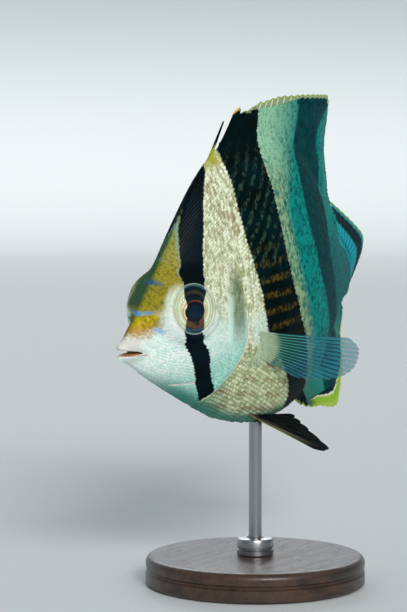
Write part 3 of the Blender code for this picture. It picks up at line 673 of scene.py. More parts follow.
    # Dark bars over everything, the second one crossed by rows of brown and of grey dashes
    low_rows = z.wave(0.0357, -2.70).ramp(0.45, 0.90) * z.ramp(0.185, 0.125) * z.ramp(-0.05, -0.03)
    high_rows = (z - s * 0.9).wave(0.0345, 0.6).ramp(0.42, 0.92) * z.ramp(0.105, 0.150) * z.ramp(0.42, 0.30)
    dashes = (strokes + tone * 0.25).ramp(0.50, 0.80)
    second = coats(mix(cloud.ramp(0.35, 0.65), "001c20", "010f0e"), (low_rows * dashes * 0.80, "5c4c1a"),
                   (high_rows * dashes * 0.65, "3f5a45"))
    night = mix(cloud.ramp(0.35, 0.65), "00141f", "000a0e")
    third = mix(strokes.ramp(0.35, 0.70), "003039", "014a4a")
    return coats(colour, ((eye_bar + jitter * 0.25).ramp(-0.0012, 0.0012), night),
                 ((bar_2 + jitter * 0.5).ramp(-0.0022, 0.0028), second),
                 ((bar_3 + jitter * 0.5).ramp(-0.006, 0.008), third))


def wet_skin(name, sheen):
    """Skin or scales under a thin wet film, with fine pores."""
    skin = Finish(name, Coat_Roughness=0.25, Specular_IOR_Level=0.02)
    pores = skin.noise(skin.spot(), 5200.0, 1.0)
    s, _, _ = skin.numbers("body")
    skin.close(Coat_Weight=s.ramp(0.50, 0.20) * 0.12)
    return skin, pores, sheen + pores * 0.12


def lips_patch(v):
    """Left half of the snout, from the edge of the lips to a whole section of the head.

    Each boundary is a curve in s and z: the lips' edge, the section behind, the ridge of the
    snout and the line of the chin; the inside is their sum less the four corners' plane.
    """
    u = np.linspace(0, 1, SNOUT_RINGS)[:, None] ** SNOUT_CROWD
    at = 2 * np.minimum(v, 1 - v)
    lip_s = LIP_TIP + (MOUTH_CORNER - LIP_TIP) * at ** 1.4
    half_gape = MOUTH_GAPE / 2 * (1 - at) ** 0.7 + LIP_APART
    lip_z = MOUTH_LEVEL - MOUTH_SLOPE * lip_s + np.where(v < 0.5, half_gape, -half_gape)
    join = flank(np.full(v.shape, SNOUT_JOIN), v)
    ridge_s = smooth(u, SNOUT_KNOTS, (LIP_TIP, -0.0040, -0.0015, 0.0150, 0.0500, SNOUT_JOIN))
    chin_s = smooth(u, SNOUT_KNOTS, (LIP_TIP, -0.0045, -0.0020, 0.0170, 0.0520, SNOUT_JOIN))
    ridge_z = smooth(u, SNOUT_KNOTS, (lip_z[0], 0.0080, 0.0155, *back_line((0.0150, 0.0500)), join[0, 1]))
    chin_z = smooth(u, SNOUT_KNOTS, (lip_z[-1], -0.0125, -0.0190, *belly_line((0.0170, 0.0520)),
                                     join[-1, 1]))
    grids = []
    for lip, far, top, low in ((lip_s, join[:, 0], ridge_s, chin_s), (lip_z, join[:, 1], ridge_z, chin_z)):
        plane = (1 - u) * ((1 - v) * lip[0] + v * lip[-1]) + u * ((1 - v) * far[0] + v * far[-1])
        grids.append((1 - u) * lip + u * far + (1 - v) * top + v * low - plane)
    s, z = grids
    return np.stack([s, z, width(s, z, np.abs(np.cos(math.pi * v)) + 0 * u)], -1)


def between(start, end, rows, v):
    """Flank between two edges, each a station for every height, in rows that follow them.

    A row's heights depend on its stations, so both ends settle by halving the gap again and again.
    """
    first = np.full(v.shape, 0.4)
    last = np.full(v.shape, 0.4)
    for _ in range(SETTLING_STEPS):
        first = (first + start(flank(first, v)[..., 1])) / 2
        last = (last + end(flank(last, v)[..., 1])) / 2
    u = np.linspace(0, 1, rows)[:, None]
    return flank(first + (last - first) * u, v + 0 * u)


def fish_skin():
    """Rings from the throat out over the lips and back to the tail, each closed round the body."""
    v = np.linspace(0, 1, HALF_RING)
    snout = lips_patch(v)
    mouth = []
    for inward, drop, _ in MOUTH_RINGS:
        ring = snout[0].copy()
        floor = MOUTH_LEVEL - MOUTH_SLOPE * ring[:, 0]
        ring[:, 0] += (MOUTH_CORNER - 0.002 - ring[:, 0]) * inward * THROAT_REACH
        ring[:, 1] += (floor - ring[:, 1]) * drop
        ring[:, 2] *= 1 - THROAT_REACH * inward ** THROAT_PINCH
        mouth.append(ring)
    face = between(lambda z: SNOUT_JOIN + FACE_START + 0 * z, lambda z: gill_edge(z) - FLAP_EDGE,
                   BODY_RINGS, v)
    flap = face[-1].copy()
    level = cover_level(flap[:, 1])
    flap[:, 0] -= FLAP_FOLD * level
    flap[:, 2] -= (GILL_RISE + FLAP_TUCK) * level
    trunk = between(lambda z: gill_edge(z) + TRUNK_START, lambda z: SKIN_END + 0 * z, BODY_RINGS, v)
    left = np.concatenate([np.stack(mouth), snout, face, flap[None], trunk])
    from_eye = np.hypot(left[..., 0] - EYE[0], left[..., 1] - EYE[1])
    left[..., 2] -= SOCKET_DEPTH * (1 - ramp(from_eye, *SOCKET_WALL)) * (left[..., 2] > 0.02)
    rings = np.concatenate([left, left[:, -2:0:-1] * (1, 1, -1)], 1)
    rows, around = rings.shape[:2]
    body = np.concatenate([rings.reshape(-1, 3), rings[:1].mean(1), rings[-1:].mean(1)])
    gape = np.zeros(len(body))
    gape[:around * len(mouth)] = np.repeat([depth for _, _, depth in MOUTH_RINGS], around)
    gape[rows * around] = 1.0
    return body, ring_faces(rows, around), gape


body, faces, gape = fish_skin()
skin, pores, rough = wet_skin("bare_skin", 0.36)
colour = living_colour(skin)
# Inside of the mouth: tan painted light that lifts the slit's shadow, a little duller deeper in
_, _, throat = skin.numbers("grain")
gullet = skin.mix(throat.ramp(0.5, 0.9), "c98e5c", "a8905e")
colour = skin.mix(throat.ramp(0.15, 0.5), colour, gullet)
skin.close(Base_Color=colour, Roughness=rough, Normal=skin.bump(pores, 0.00006, 0.35))
fish_hide = piece("fish_hide", place(body), faces, skin, 80.0, **notes(body, ridge=gape))
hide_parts("head", "trunk", "tail_stalk")


# Scales.  Thin rounded plates of horn in staggered rows, each rooted under the one ahead of
# it and a little domed.  They are small on the head and near the tail, largest on the flank.
PLATE_SIDES = 12
# Share kept of a plate's front half; its crown and its root, on the same a, b and c
PLATE_CUT = 0.8
PLATE_CROWN = (0.12, 0.0, 1.12)
PLATE_ROOT = (-0.05, 0.0, -0.6)
PLATE_RISE = 0.0026
PLATE_FULL = 0.016
SIZE_SPREAD = (0.92, 1.08)
RISE_SPREAD = (0.85, 1.20)
FLANK_STEP = 0.0086
HEAD_STEP = 0.0057
SCALE_PATCH = 0.003
# Corner and size of the flank on the unwrapped skin
SHEET_CORNER = (0.04, 0.96)
SHEET_SIZE = (0.72, 0.92)
SCALE_LONG = 1.75
SCALE_BROAD = 0.72
FLANK_LONG = 0.0157
FLANK_BROAD = 0.74
FLANK_TALL = 0.0100
BARE_ORBIT = 0.0055
BARE_SNOUT = (0.030, -0.004, 0.042)
BARE_FLAP = 0.0085
SIDES = ((1, "left"), (-1, "right"))


def scale_shape():
    """One plate, rear to +a and up to +b: a rim cut short in front, a crown and a flat root."""
    numbers = np.arange(PLATE_SIDES)
    a = 0.5 * np.cos(numbers * 2 * math.pi / PLATE_SIDES)
    b = 0.5 * np.sin(numbers * 2 * math.pi / PLATE_SIDES)
    a = np.where(a < 0, a * PLATE_CUT, a)
    c = 0.25 + 0.75 * (a + 0.4) / 0.9 - 0.45 * np.abs(2 * b) ** 2
    faces = np.concatenate([cap_faces(numbers, PLATE_SIDES), cap_faces(numbers[::-1], PLATE_SIDES + 1)])
    return np.concatenate([np.stack([a, b, c], 1), [PLATE_CROWN, PLATE_ROOT]]), faces


def skin_sheet(s, v):
    """Place on the unwrapped skin: the flank laid out flat beside the two fins."""
    return np.stack([s * SHEET_SIZE[0] + SHEET_CORNER[0], SHEET_CORNER[1] - SHEET_SIZE[1] * v], -1)


def scales(name, roots, surface, long, tall, side, finish, seed, sheet=skin_sheet):
    """Plates at roots (s, v), bent to a surface that gives s, z, w for any s and v.

    A plate's corner lies at the surface's point beside its root plus its rise along the normal.
    """
    shape, faces = scale_shape()
    random = np.random.default_rng(seed)
    s, v = roots.T
    nudge = 0.0015
    here = surface(s, v)
    along = surface(s + nudge, v) - here
    down = surface(s, v + nudge) - here
    normal = np.cross(down, along)
    normal *= np.where(normal[:, 2:] < 0, -1, 1) / np.linalg.norm(normal, axis=1, keepdims=True)
    reach = np.linalg.norm(down, axis=1) / nudge
    size = random.uniform(*SIZE_SPREAD, len(s))
    lift = random.uniform(*RISE_SPREAD, len(s)) * PLATE_RISE * np.minimum(1, long / PLATE_FULL)
    at_s = s[:, None] + shape[None, :, 0] * (long * size)[:, None]
    at_v = v[:, None] - shape[None, :, 1] * (tall * size / reach)[:, None]
    points = surface(at_s, at_v) + normal[:, None] * (shape[None, :, 2] * lift[:, None])[..., None]
    points[..., 2] *= side
    count, corners = points.shape[:2]
    centres = 0.4 * here[:, None] * (1, 1, side) + 0.6 * points
    tone = np.repeat(random.uniform(0, 1, count), corners)
    edge = np.tile(np.clip(2 * np.hypot(shape[:, 0] - 0.05, shape[:, 1]), 0, 1), count)
    every = (np.arange(count)[:, None, None] * corners + faces[None]).reshape(-1, 3)
    coat = piece(name, place(points.reshape(-1, 3)), every, finish, 60.0,
                 **notes(centres.reshape(-1, 3), tone, edge))
    unwrap = sheet(s, v)[:, None] + shape[None, :, :2] * SCALE_PATCH
    loops = np.zeros(len(coat.data.loops), dtype=np.int32)
    coat.data.loops.foreach_get("vertex_index", loops)
    bake = coat.data.uv_layers.new(name="OFBake")
    bake.uv.foreach_set("vector", unwrap.reshape(-1, 2)[loops].astype(np.float32).ravel())
    return coat


def column_roots(stations, tall):
    """Roots in columns: even steps of arc up and down each section, every other one shifted."""
    fine = np.linspace(0.004, 0.996, 500)
    columns = []
    for number, s in enumerate(stations):
        line = flank(np.full(fine.shape, s), fine)
        steps = np.linalg.norm(np.diff(line, axis=0), axis=1)
        arc = np.concatenate([[0.0], np.cumsum(steps)])
        arc -= np.interp(0.5, fine, arc)
        count = int(arc[-1] / tall[number]) + int(-arc[0] / tall[number]) + 1
        marks = (np.arange(count) - int(-arc[0] / tall[number]) + 0.5 * (number % 2)) * tall[number]
        marks = marks[(marks > arc[0]) & (marks < arc[-1])]
        columns.append(np.stack([np.full(marks.shape, s), np.interp(marks, arc, fine)], 1))
    return np.concatenate(columns)


def shrunk(s):
    """Share of a flank scale's full size at a station: it lessens towards the tail."""
    return 1 - 0.35 * ramp(s, 0.72, 0.98)


def stations_between(start, end, step):
    """Stations a step apart, the step shrinking towards the tail."""
    found = [start]
    while found[-1] < end:
        found.append(found[-1] + step * float(shrunk(found[-1])))
    return np.array(found)


def horn(name, sheen):
    """Scales: the fish's colours in clear horn, ridged round the free edge."""
    plate, pores, rough = wet_skin(name, sheen)
    plate.close(Base_Color=living_colour(plate), Roughness=rough, Normal=plate.bump(pores, 0.00004, 0.3))
    return plate


plate_horn = horn("scale_horn", 0.33)
head_stations = np.arange(0.062, 0.330, HEAD_STEP)
head_roots = column_roots(head_stations, np.full(head_stations.shape, HEAD_STEP * 1.15))
flank_stations = stations_between(0.196, 0.985, FLANK_STEP)
flank_roots = column_roots(flank_stations, FLANK_TALL * shrunk(flank_stations))


def bare(s, v):
    """True where the head has no scales: lips, snout tip, eyes, nostrils and the gill flap."""
    at = flank(s, v)
    z = at[:, 1]
    hidden = np.hypot(s - EYE[0], z - EYE[1]) < EYE_RADIUS + BARE_ORBIT
    hidden |= np.hypot(s - BARE_SNOUT[0], (z - BARE_SNOUT[1]) * 1.2) < BARE_SNOUT[2]
    for pit_s, pit_z, radius in NOSTRILS:
        hidden |= np.hypot(s - pit_s, z - pit_z) < radius * 2.2
    return hidden | (s > gill_edge(z) - BARE_FLAP)


head_roots = head_roots[~bare(*head_roots.T)]
flank_levels = flank(*flank_roots.T)[:, 1]
flank_roots = flank_roots[flank_roots[:, 0] > gill_edge(flank_levels) + 0.0065]
head_long = np.full(len(head_roots), HEAD_STEP * SCALE_LONG)
flank_long = FLANK_LONG * shrunk(flank_roots[:, 0])
for side, word in SIDES:
    scales("head_scales_" + word, head_roots, flank, head_long, head_long * SCALE_BROAD, side,
           plate_horn, 11 + side)
    scales("flank_scales_" + word, flank_roots, flank, flank_long, flank_long * FLANK_BROAD, side,
           plate_horn, 21 + side)


# Eyes.  Each is a glass eye in three parts: a nearly flat iris with a low lens of a pupil, a
# clear domed cornea over it, and a rim of skin that lies flush round it.
PUPIL_CENTRE = (0.0, -0.11)
PUPIL_HALF = (0.470, 0.385)
LIMBUS = 0.93
# Shares of the eye's depth: the iris at its edge and its swell, the furrow and the lens
IRIS_EDGE = 0.26
IRIS_SWELL = 0.10
LENS_FURROW = 0.03
LENS_RISE = 0.11
DOME_EDGE = 0.968
DOME_TOP = 0.985
DOME_RINGS = 26
DOME_GAP = 0.03
EYE_AROUND = 112
# Radius and height of each ring: the back of the ball, then the roll of skin round it
BALL_BACK = ((0.945, 0.20), (0.955, 0.05), (0.95, -0.15), (0.90, -0.40), (0.75, -0.66), (0.45, -0.86),
             (0.15, -0.95))
ORBIT_ROLL = ((0.940, 0.0030), (0.950, 0.0062), (0.965, 0.0080), (0.985, 0.0086), (1.005, 0.0084),
              (1.03, 0.0078), (1.06, 0.0068), (1.10, 0.0052), (1.15, 0.0030), (1.12, 0.0), (1.03, 0.0),
              (0.95, 0.001))


def sight_frame(side):
    """World matrix of an eye: its line of sight along Z, the fish's rear along X, up along Y."""
    heading = float(turn(EYE[0]))
    ahead = Vector((-math.cos(heading), math.sin(heading), 0.0))
    outward = Vector((-math.sin(heading), -math.cos(heading), 0.0)) * side
    pitch = Matrix.Rotation(-HEAD_DOWN, 3, "Y")
    level = outward * math.cos(EYE_FORWARD) * math.cos(EYE_UP)
    sight = level + ahead * math.sin(EYE_FORWARD) * math.cos(EYE_UP)
    sight = pitch @ (sight + Vector((0.0, 0.0, math.sin(EYE_UP))))
    up = pitch @ Vector((0.0, 0.0, 1.0))
    up = (up - sight * up.dot(sight)).normalized()
    return np.array([up.cross(sight) * side, up, sight])


def iris_height(x, y):
    """Share of the eye's depth at a place on the iris: low at its edge, a lens over the pupil."""
    lens = ((x - PUPIL_CENTRE[0]) / PUPIL_HALF[0]) ** 2 + ((y - PUPIL_CENTRE[1]) / PUPIL_HALF[1]) ** 2
    bowl = IRIS_EDGE + IRIS_SWELL * (1 - (np.hypot(x, y) / LIMBUS) ** 2)
    return bowl - LENS_FURROW * np.exp(-((lens - 1.25) / 0.35) ** 2) + LENS_RISE * np.exp(-lens ** 3)


def rings_of(radii):
    """Places across the eye on one ring for each radius."""
    angle = np.linspace(0, 2 * math.pi, EYE_AROUND, endpoint=False)
    return np.outer(radii, np.cos(angle)), np.outer(radii, np.sin(angle))


def eye_rings(name, side, local, finish):
    """Closed piece of rings about the line of sight, its numbers kept as shares of the eye."""
    seen = np.concatenate([local.reshape(-1, 3), local[:1].mean(1), local[-1:].mean(1)])
    sized = seen * (EYE_RADIUS, EYE_RADIUS, EYE_DEPTH)
    middle = place((EYE[0], EYE[1], side * EYE_OUT))
    made = piece(name, middle + sized @ sight_frame(side) * STANDARD_LENGTH, ring_faces(*local.shape[:2]),
                 finish, 80.0, sight=seen)
    return made


def eyeball(name, side, finish):
    """Iris and lens above, the white of the ball behind."""
    radii, behind = np.transpose(BALL_BACK)
    x, y = rings_of(np.concatenate([np.linspace(0.02, LIMBUS, 44), radii]))
    height = iris_height(x, y)
    height[-len(behind):] = behind[:, None]
    ball = eye_rings(name, side, np.stack([x, y, height], -1), finish)
    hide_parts("eye_left" if side > 0 else "eye_right")


def cornea(name, side, finish):
    """Clear dome from the rim up to the solid eye's own height, hollow down to the iris."""
    out = np.linspace(0.03, DOME_EDGE, DOME_RINGS)
    radii = np.concatenate([out, out[::-1]])
    x, y = rings_of(radii)
    rho = radii[:, None]
    under = np.maximum(iris_height(x, y), 0.25 + 0.012 * (rho > LIMBUS)) + DOME_GAP * (1 - rho ** 8)
    height = np.where(np.arange(len(rho))[:, None] < len(out), DOME_TOP * np.sqrt(1 - rho ** 2), under)
    eye_rings(name, side, np.stack([x, y, np.maximum(height, under - 0.02)], -1), finish)


def glass_eye():
    """Iris of pale gold with green and orange rings, dark where the bar crosses, and the pupil, bluer at its
    centre as a painted sheen.
    """
    eye = Finish("glass_eye", Roughness=0.22, Specular_IOR_Level=0.3)
    x, y, _ = eye.numbers("sight")
    fleck = eye.noise(eye.spot(), 2600.0)
    smoke = eye.noise(eye.spot(), 700.0)
    wave = (fleck - 0.5) * 0.05
    rho = (x * x + y * y) ** 0.5
    lens = ((x - PUPIL_CENTRE[0]) / PUPIL_HALF[0]) ** 2.0 + ((y - PUPIL_CENTRE[1]) / PUPIL_HALF[1]) ** 2.0
    ring = rho + wave
    loose = rho + wave * 1.5
    round_pupil = (lens + wave).near(1.22, 0.08)
    gold = eye.coats(eye.mix((fleck + smoke * 0.4).ramp(0.50, 0.85), "fffff0", "f0f2bc"),
                     (ring.near(0.80, 0.036) * 0.62, "92cca8"), (ring.near(0.62, 0.036) * 0.58, "b2c480"),
                     (ring.near(0.90, 0.014) * 0.70, "c08a3c"),
                     ((lens + wave).near(1.34, 0.10) * 0.85, "d4862c"))
    ember = round_pupil * (x + y * 0.5 + (smoke - 0.5) * 0.8).ramp(-0.25, 0.30)
    dark = eye.coats(eye.mix(smoke.ramp(0.35, 0.65), "04151d", "0a2229"),
                     (loose.near(0.66, 0.050) * y.ramp(0.20, 0.40) * 0.35, "5b5136"),
                     (loose.near(0.93, 0.030) * y.ramp(0.30, 0.50) * 0.55, "2b7f86"),
                     (loose.near(0.84, 0.028) * y.ramp(-0.30, -0.50) * 0.55, "2d6f86"),
                     (loose.near(0.66, 0.090) * y.ramp(-0.25, -0.45) * smoke.ramp(0.3, 0.6), "64452a"),
                     (ember * 0.7 + round_pupil * 0.1, "a04c1c"))
    half = 0.40 + y.ramp(0.15, 0.60) * 0.13 + y.ramp(-0.30, -0.60) * 0.05
    band = (abs(x - 0.05 - y * 0.17 + wave * 0.4) - half).ramp(0.02, -0.02)
    # The pupil: near black, bluer towards its centre as a painted sheen
    colour = eye.coats(gold, (band, dark),
                       (lens.ramp(1.06, 0.96), eye.mix(lens.ramp(0.75, 0.35), "00060a", "021f33")))
    return eye.close(Base_Color=colour, Normal=eye.bump(fleck, 0.00003, 0.2))


def clear_dome():
    """Nearly invisible glass that thickens to a milky edge."""
    glass = Finish("cornea_glass", Roughness=0.04, Coat_Weight=0.3, Coat_Roughness=0.03,
                   Specular_IOR_Level=0.3)
    x, y, _ = glass.numbers("sight")
    rho = (x * x + y * y) ** 0.5
    return glass.close(Base_Color=glass.mix(rho.ramp(0.88, 0.97), "05080a", "c9dedc"),
                       Alpha=0.03 + rho.ramp(0.90, 0.975) * 0.30)


def orbit_rim(name, side, finish):
    """Ring of skin round the eye, its section a low roll in the eye's own frame."""
    radii, height = np.transpose(ORBIT_ROLL)
    x, y = rings_of(EYE_RADIUS * radii)
    local = np.stack([x, y, height[:, None] + 0 * x], -1).reshape(-1, 3)
    middle = place((EYE[0], EYE[1], side * EYE_OUT))
    flat = np.stack([EYE[0] + x, EYE[1] + y, side * width(EYE[0] + x, EYE[1] + y, 0 * x)], -1)
    rim = piece(name, middle + local @ sight_frame(side) * STANDARD_LENGTH,
                grid_faces(*x.shape, wrap=True, loop=True), finish, 60.0,
                **notes(flat.reshape(-1, 3), ridge=np.repeat(radii, EYE_AROUND)))


iris = glass_eye()
dome = clear_dome()
lid, pores, rough = wet_skin("orbit_skin", 0.34)
_, _, ring = lid.numbers("grain")
colour = lid.coats(living_colour(lid), (ring.near(0.985, 0.007) * 0.80, "bfe0dc"),
                   (ring.near(1.012, 0.006) * 0.45, "153c3e"))
lid.close(Base_Color=colour, Roughness=rough, Normal=lid.bump(pores, 0.00005, 0.4))
for side, word in SIDES:
    eyeball("eyeball_" + word, side, iris)
    cornea("cornea_" + word, side, dome)
    orbit_rim("orbit_rim_" + word, side, lid)


# Dorsal fin.  Twelve stiff spines with the membrane cut in between their tips, then twenty
# soft rays that fork twice; one thin web with scales on its foot, rooted along the back.
DORSAL_SPINES = 12
DORSAL_RAYS = 20
DORSAL_SPLIT = 0.668
DORSAL_END = 0.93
SPINE_PHASES = (1.3, 1.6, 2.2, 2.5, 2.8, 4.2, 5.4, 5.6, 7.0, 9.0, 12.0)
SPINE_TIPS = ((0.442, 0.466), (0.464, 0.472), (0.468, 0.470), (0.464, 0.463), (0.463, 0.460), (0.505, 0.464),
              (0.557, 0.477), (0.562, 0.474), (0.601, 0.478), (0.660, 0.481), (0.770, 0.4745))
SOFT_DORSAL = ((0.766, 0.4745), (0.840, 0.469), (0.915, 0.463), (0.978, 0.454), (0.988, 0.408),
               (0.993, 0.350), (0.999, 0.285), (0.998, 0.225), (0.978, 0.172), (0.950, 0.143))
SPINY_START = 0.322
SPINY_END = 0.669
FIRST_SPINE = (0.290, 0.318)
FIRST_SPINE_DEPTH = 0.016
FIRST_SPINE_TIPS = ((0.3890, 0.4440), (0.3990, 0.4500))
WEB_HALF = 0.0011
# How far a ray's branches part at each fork, in gaps between rays, and where that begins and ends
FORKS = ((0.17, 0.30, 0.62), (0.085, 0.62, 0.90))
# Breadth of a ray at its root and what it loses by its tip, in the same gaps
FORKED_BREADTH = (0.13, 0.06)
PLAIN_BREADTH = (0.16, 0.09)
WEB_ROWS = 38
RAY_COLUMNS = 22
FOOT_DEPTH = 0.032
FOOT_SLOPE = 0.22
FOOT_ROUND = 0.028


def fillet(height):
    """Half width of a fin's foot: one arm of a hyperbola, from the flank's slope to upright.

    Slope times (the root of the squares of the height and the rounding, less the height).
    """
    return FOOT_SLOPE * (np.hypot(height, FOOT_ROUND) - height)


def over_back_foot(s, z):
    """Half width of the dorsal fin's foot at a place."""
    return fillet(z - back_line(s))


def dorsal_lean(s, z):
    """Rear edge of the dorsal fin swept to the fish's right, least at its corner."""
    return -0.030 * ramp(s, 0.84, 1.0) * ramp(z, 0.12, 0.22) * (1 - 0.8 * ramp(z, 0.31, 0.46))


def along_outline(outline, at):
    """Places on the middle plane at fractions of an outline's count of points."""
    points = np.array(outline)
    knots = np.linspace(0, 1, len(points))
    return np.stack([smooth(at, knots, points[:, 0]), smooth(at, knots, points[:, 1]), 0 * at], -1)


def web(name, root, tip, phase, finish, node, ray=(0.0036, 0.0016), forks=True, notch=0.006,
        notch_power=2.0, face=(0.0, 0.0, 1.0), foot=0.0, faired=None, bow=0.0, lean=None, sink=0.03, side=1):
    """Fin as a thin closed sheet between its root and its tips, with rays standing on both faces.

    The half thickness at a point is the web's, plus the ray's where the point lies near a ray's
    line; that line splits in two, and again, towards the tip.  Phase counts the rays.
    """
    r = np.concatenate([[-sink], np.linspace(0, 1, WEB_ROWS)])[:, None]
    f = phase % 1 - 0.5
    inner = np.clip(r, 0, 1)
    first, second = [forks * spread * ramp(inner, *where) for spread, *where in FORKS]
    off = np.abs(np.abs(np.abs(f)[None] - first) - second)
    broad, lost = FORKED_BREADTH if forks else PLAIN_BREADTH
    breadth = broad - lost * inner
    ridge = np.exp(-(off / breadth) ** 2)
    thick = WEB_HALF * (1 - 0.4 * inner)
    half = thick + (ray[0] * (1 - inner) + ray[1] * inner - thick).clip(0) * ridge
    half = np.maximum(half, foot * (1 - ramp(inner, 0, 0.10)))
    cut = notch / np.linalg.norm(tip - root, axis=-1) * np.abs(2 * f) ** notch_power
    reach = 1 - cut[None] * ramp(inner, 0.4, 1)
    middle = root[None] + (tip - root)[None] * (r * reach)[..., None]
    middle = middle + np.array(face) * (bow * 4 * inner * (1 - inner))[..., None]
    if faired:
        half = np.maximum(half, faired(middle[..., 0], middle[..., 1]))
    half = half * np.where(inner > 0.999, 0.35, 1)
    if lean:
        middle[..., 2] += lean(middle[..., 0], middle[..., 1])
    out = np.array(face) * half[..., None]
    sheets = np.stack([middle + out, middle - out, middle]) * (1, 1, side)
    rows, columns = half.shape
    number = np.arange(rows * columns).reshape(rows, columns)
    rim = np.concatenate([number[:-1, 0], number[-1, :-1], number[:0:-1, -1], number[0, :0:-1]])
    after = np.roll(rim, -1)
    front = grid_faces(rows, columns)
    other = rows * columns
    faces = np.concatenate([front, front[:, ::-1] + other, np.stack([after, rim, rim + other], 1),
                            np.stack([after, rim + other, after + other], 1)])
    across = np.stack([phase + 0 * r, r + 0 * phase, ridge], -1).reshape(-1, 3)
    told = notes(np.tile(sheets[2].reshape(-1, 3), (2, 1)))
    fin = piece(name, place(sheets[:2].reshape(-1, 3)), faces, finish, 40.0,
                fin=np.tile(across, (2, 1)), **told)
    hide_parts(node)


def fin_finish(name, grain, **constants):
    """Finish that reads a fin: ray count, share of the way out, nearness to a ray, and speckle."""
    fin = Finish(name, **constants)
    fin.phase, fin.out, fin.ray = fin.numbers("fin")
    fin.speck = fin.noise(fin.spot(), grain)
    fin.ragged = fin.out + (fin.speck - 0.5) * 0.03
    return fin


def fin_closed(fin, colour, rough, speckled, depth, strength, **more):
    """The fin's colour and speckled roughness, its rays raised and finely jointed across."""
    joints = fin.out.wave(0.022) * fin.ray * fin.out.ramp(0.25, 0.45)
    bump = fin.bump(fin.ray * 0.6 + joints * 0.4, depth, strength)
    return fin.close(Base_Color=colour, Roughness=rough + fin.speck * speckled, Normal=bump, **more)


def dorsal_web(name, soft):
    """The flank's colours carried up the fin, then a pale or dark line and a green edge."""
    fin = fin_finish(name, 900.0, Specular_IOR_Level=0.02)
    phase = fin.phase
    ragged = fin.ragged
    if soft:
        rear = phase.ramp(8.0, 12.0)
        edge = ((fin.ray.ramp(0.8, 0.2) * 0.15, "1b4f4c"),
                (ragged.near(0.885, 0.024) * rear * 0.75, "63b7ae"),
                (ragged.near(0.940, 0.020) * rear * 0.90, "042a30"),
                (ragged.ramp(0.945, 0.965) * phase.ramp(9.5, 8.0) * 0.7, "c3cf9a"),
                (ragged.ramp(0.975, 0.988) * 0.9, "8fae45"))
    else:
        _, bar_2, bar_3 = fin.numbers("bars")
        pale = 1 - fin.maths("MAXIMUM", bar_2, bar_3).ramp(-0.004, 0.004)
        first = phase.ramp(1.05, 0.95)
        band = ragged + phase.ramp(2.8, 5.4) * 0.22 - phase.ramp(7.0, 12.5) * 0.15
        edge = ((first, fin.mix(ragged.ramp(0.62, 0.50), "0a1416", "a8a42e")),
                ((1 - first) * phase.ramp(2.1, 1.8) * fin.out.ramp(0.94, 0.97), "e3b23c"),
                (band.ramp(1.00, 1.03) * (0.65 + pale * 0.25),
                 fin.mix(fin.ray.ramp(0.2, 0.7), "9aa984", "e4e8cc")),
                (ragged.ramp(0.955, 0.980) * phase.ramp(2.9, 3.8) * (0.45 + pale * 0.5), "98ab3c"))
    return fin_closed(fin, fin.coats(living_colour(fin), *edge), 0.46, 0.12, 0.00004, 0.4)


def over_back(s):
    """Root of the dorsal fin, one foot's depth under the back."""
    return np.stack([s, back_line(s) - FOOT_DEPTH, 0 * s], -1)


spiny_web = dorsal_web("spiny_dorsal_web", False)
spine_phase = np.linspace(SPINE_PHASES[0], DORSAL_SPINES, 260)
spine_share = (spine_phase - SPINE_PHASES[0]) / (DORSAL_SPINES - SPINE_PHASES[0])
spine_root = over_back(SPINY_START + (SPINY_END - SPINY_START) * spine_share)
spine_tips = np.stack([*(np.interp(spine_phase, SPINE_PHASES, tip) for tip in np.transpose(SPINE_TIPS)),
                       0 * spine_phase], -1)
web("dorsal_web_spiny", spine_root, spine_tips, spine_phase, spiny_web, "dorsal_fin_spiny",
    ray=(0.0060, 0.0018), forks=False, notch=0.005, notch_power=0.8, faired=over_back_foot,
    lean=dorsal_lean, sink=0.0)
at = np.linspace(0, 1, 26)
first_s = FIRST_SPINE[0] + (FIRST_SPINE[1] - FIRST_SPINE[0]) * at
first_root = np.stack([first_s, back_line(first_s) - FIRST_SPINE_DEPTH, 0 * at], -1)
web("first_dorsal_spine", first_root, along_outline(FIRST_SPINE_TIPS, at), 0.02 + 0.96 * at, spiny_web,
    "dorsal_fin_spiny", ray=(0.0066, 0.0024), forks=False, notch=0.014, notch_power=1.0,
    sink=0.0)
at = np.linspace(0, 1, DORSAL_RAYS * RAY_COLUMNS)
soft_root = over_back(DORSAL_SPLIT - 0.002 + (DORSAL_END - DORSAL_SPLIT) * at)
soft_tips = along_outline(SOFT_DORSAL, at)
web("dorsal_web_soft", soft_root, soft_tips, at * DORSAL_RAYS, dorsal_web("soft_dorsal_web", True),
    "dorsal_fin_soft", notch=0.005, faired=over_back_foot, lean=dorsal_lean, sink=0.0)


# Fin scales.  The flank's scales run on over the foot of the dorsal and anal fins, smaller
# towards the margins, and leave the tips of the spines and rays bare.
FIN_STEP = 0.0085
# Steps between rows and between columns of plates, and cells to a step in the search
FIN_ROW = 0.62
FIN_COLUMN = 1.1
FIN_CELLS = 1.25
# Left end of the fins' place on the unwrapped skin, and its size
FIN_SHEET = (0.77, 0.45)
FIRST_SCALED = 16


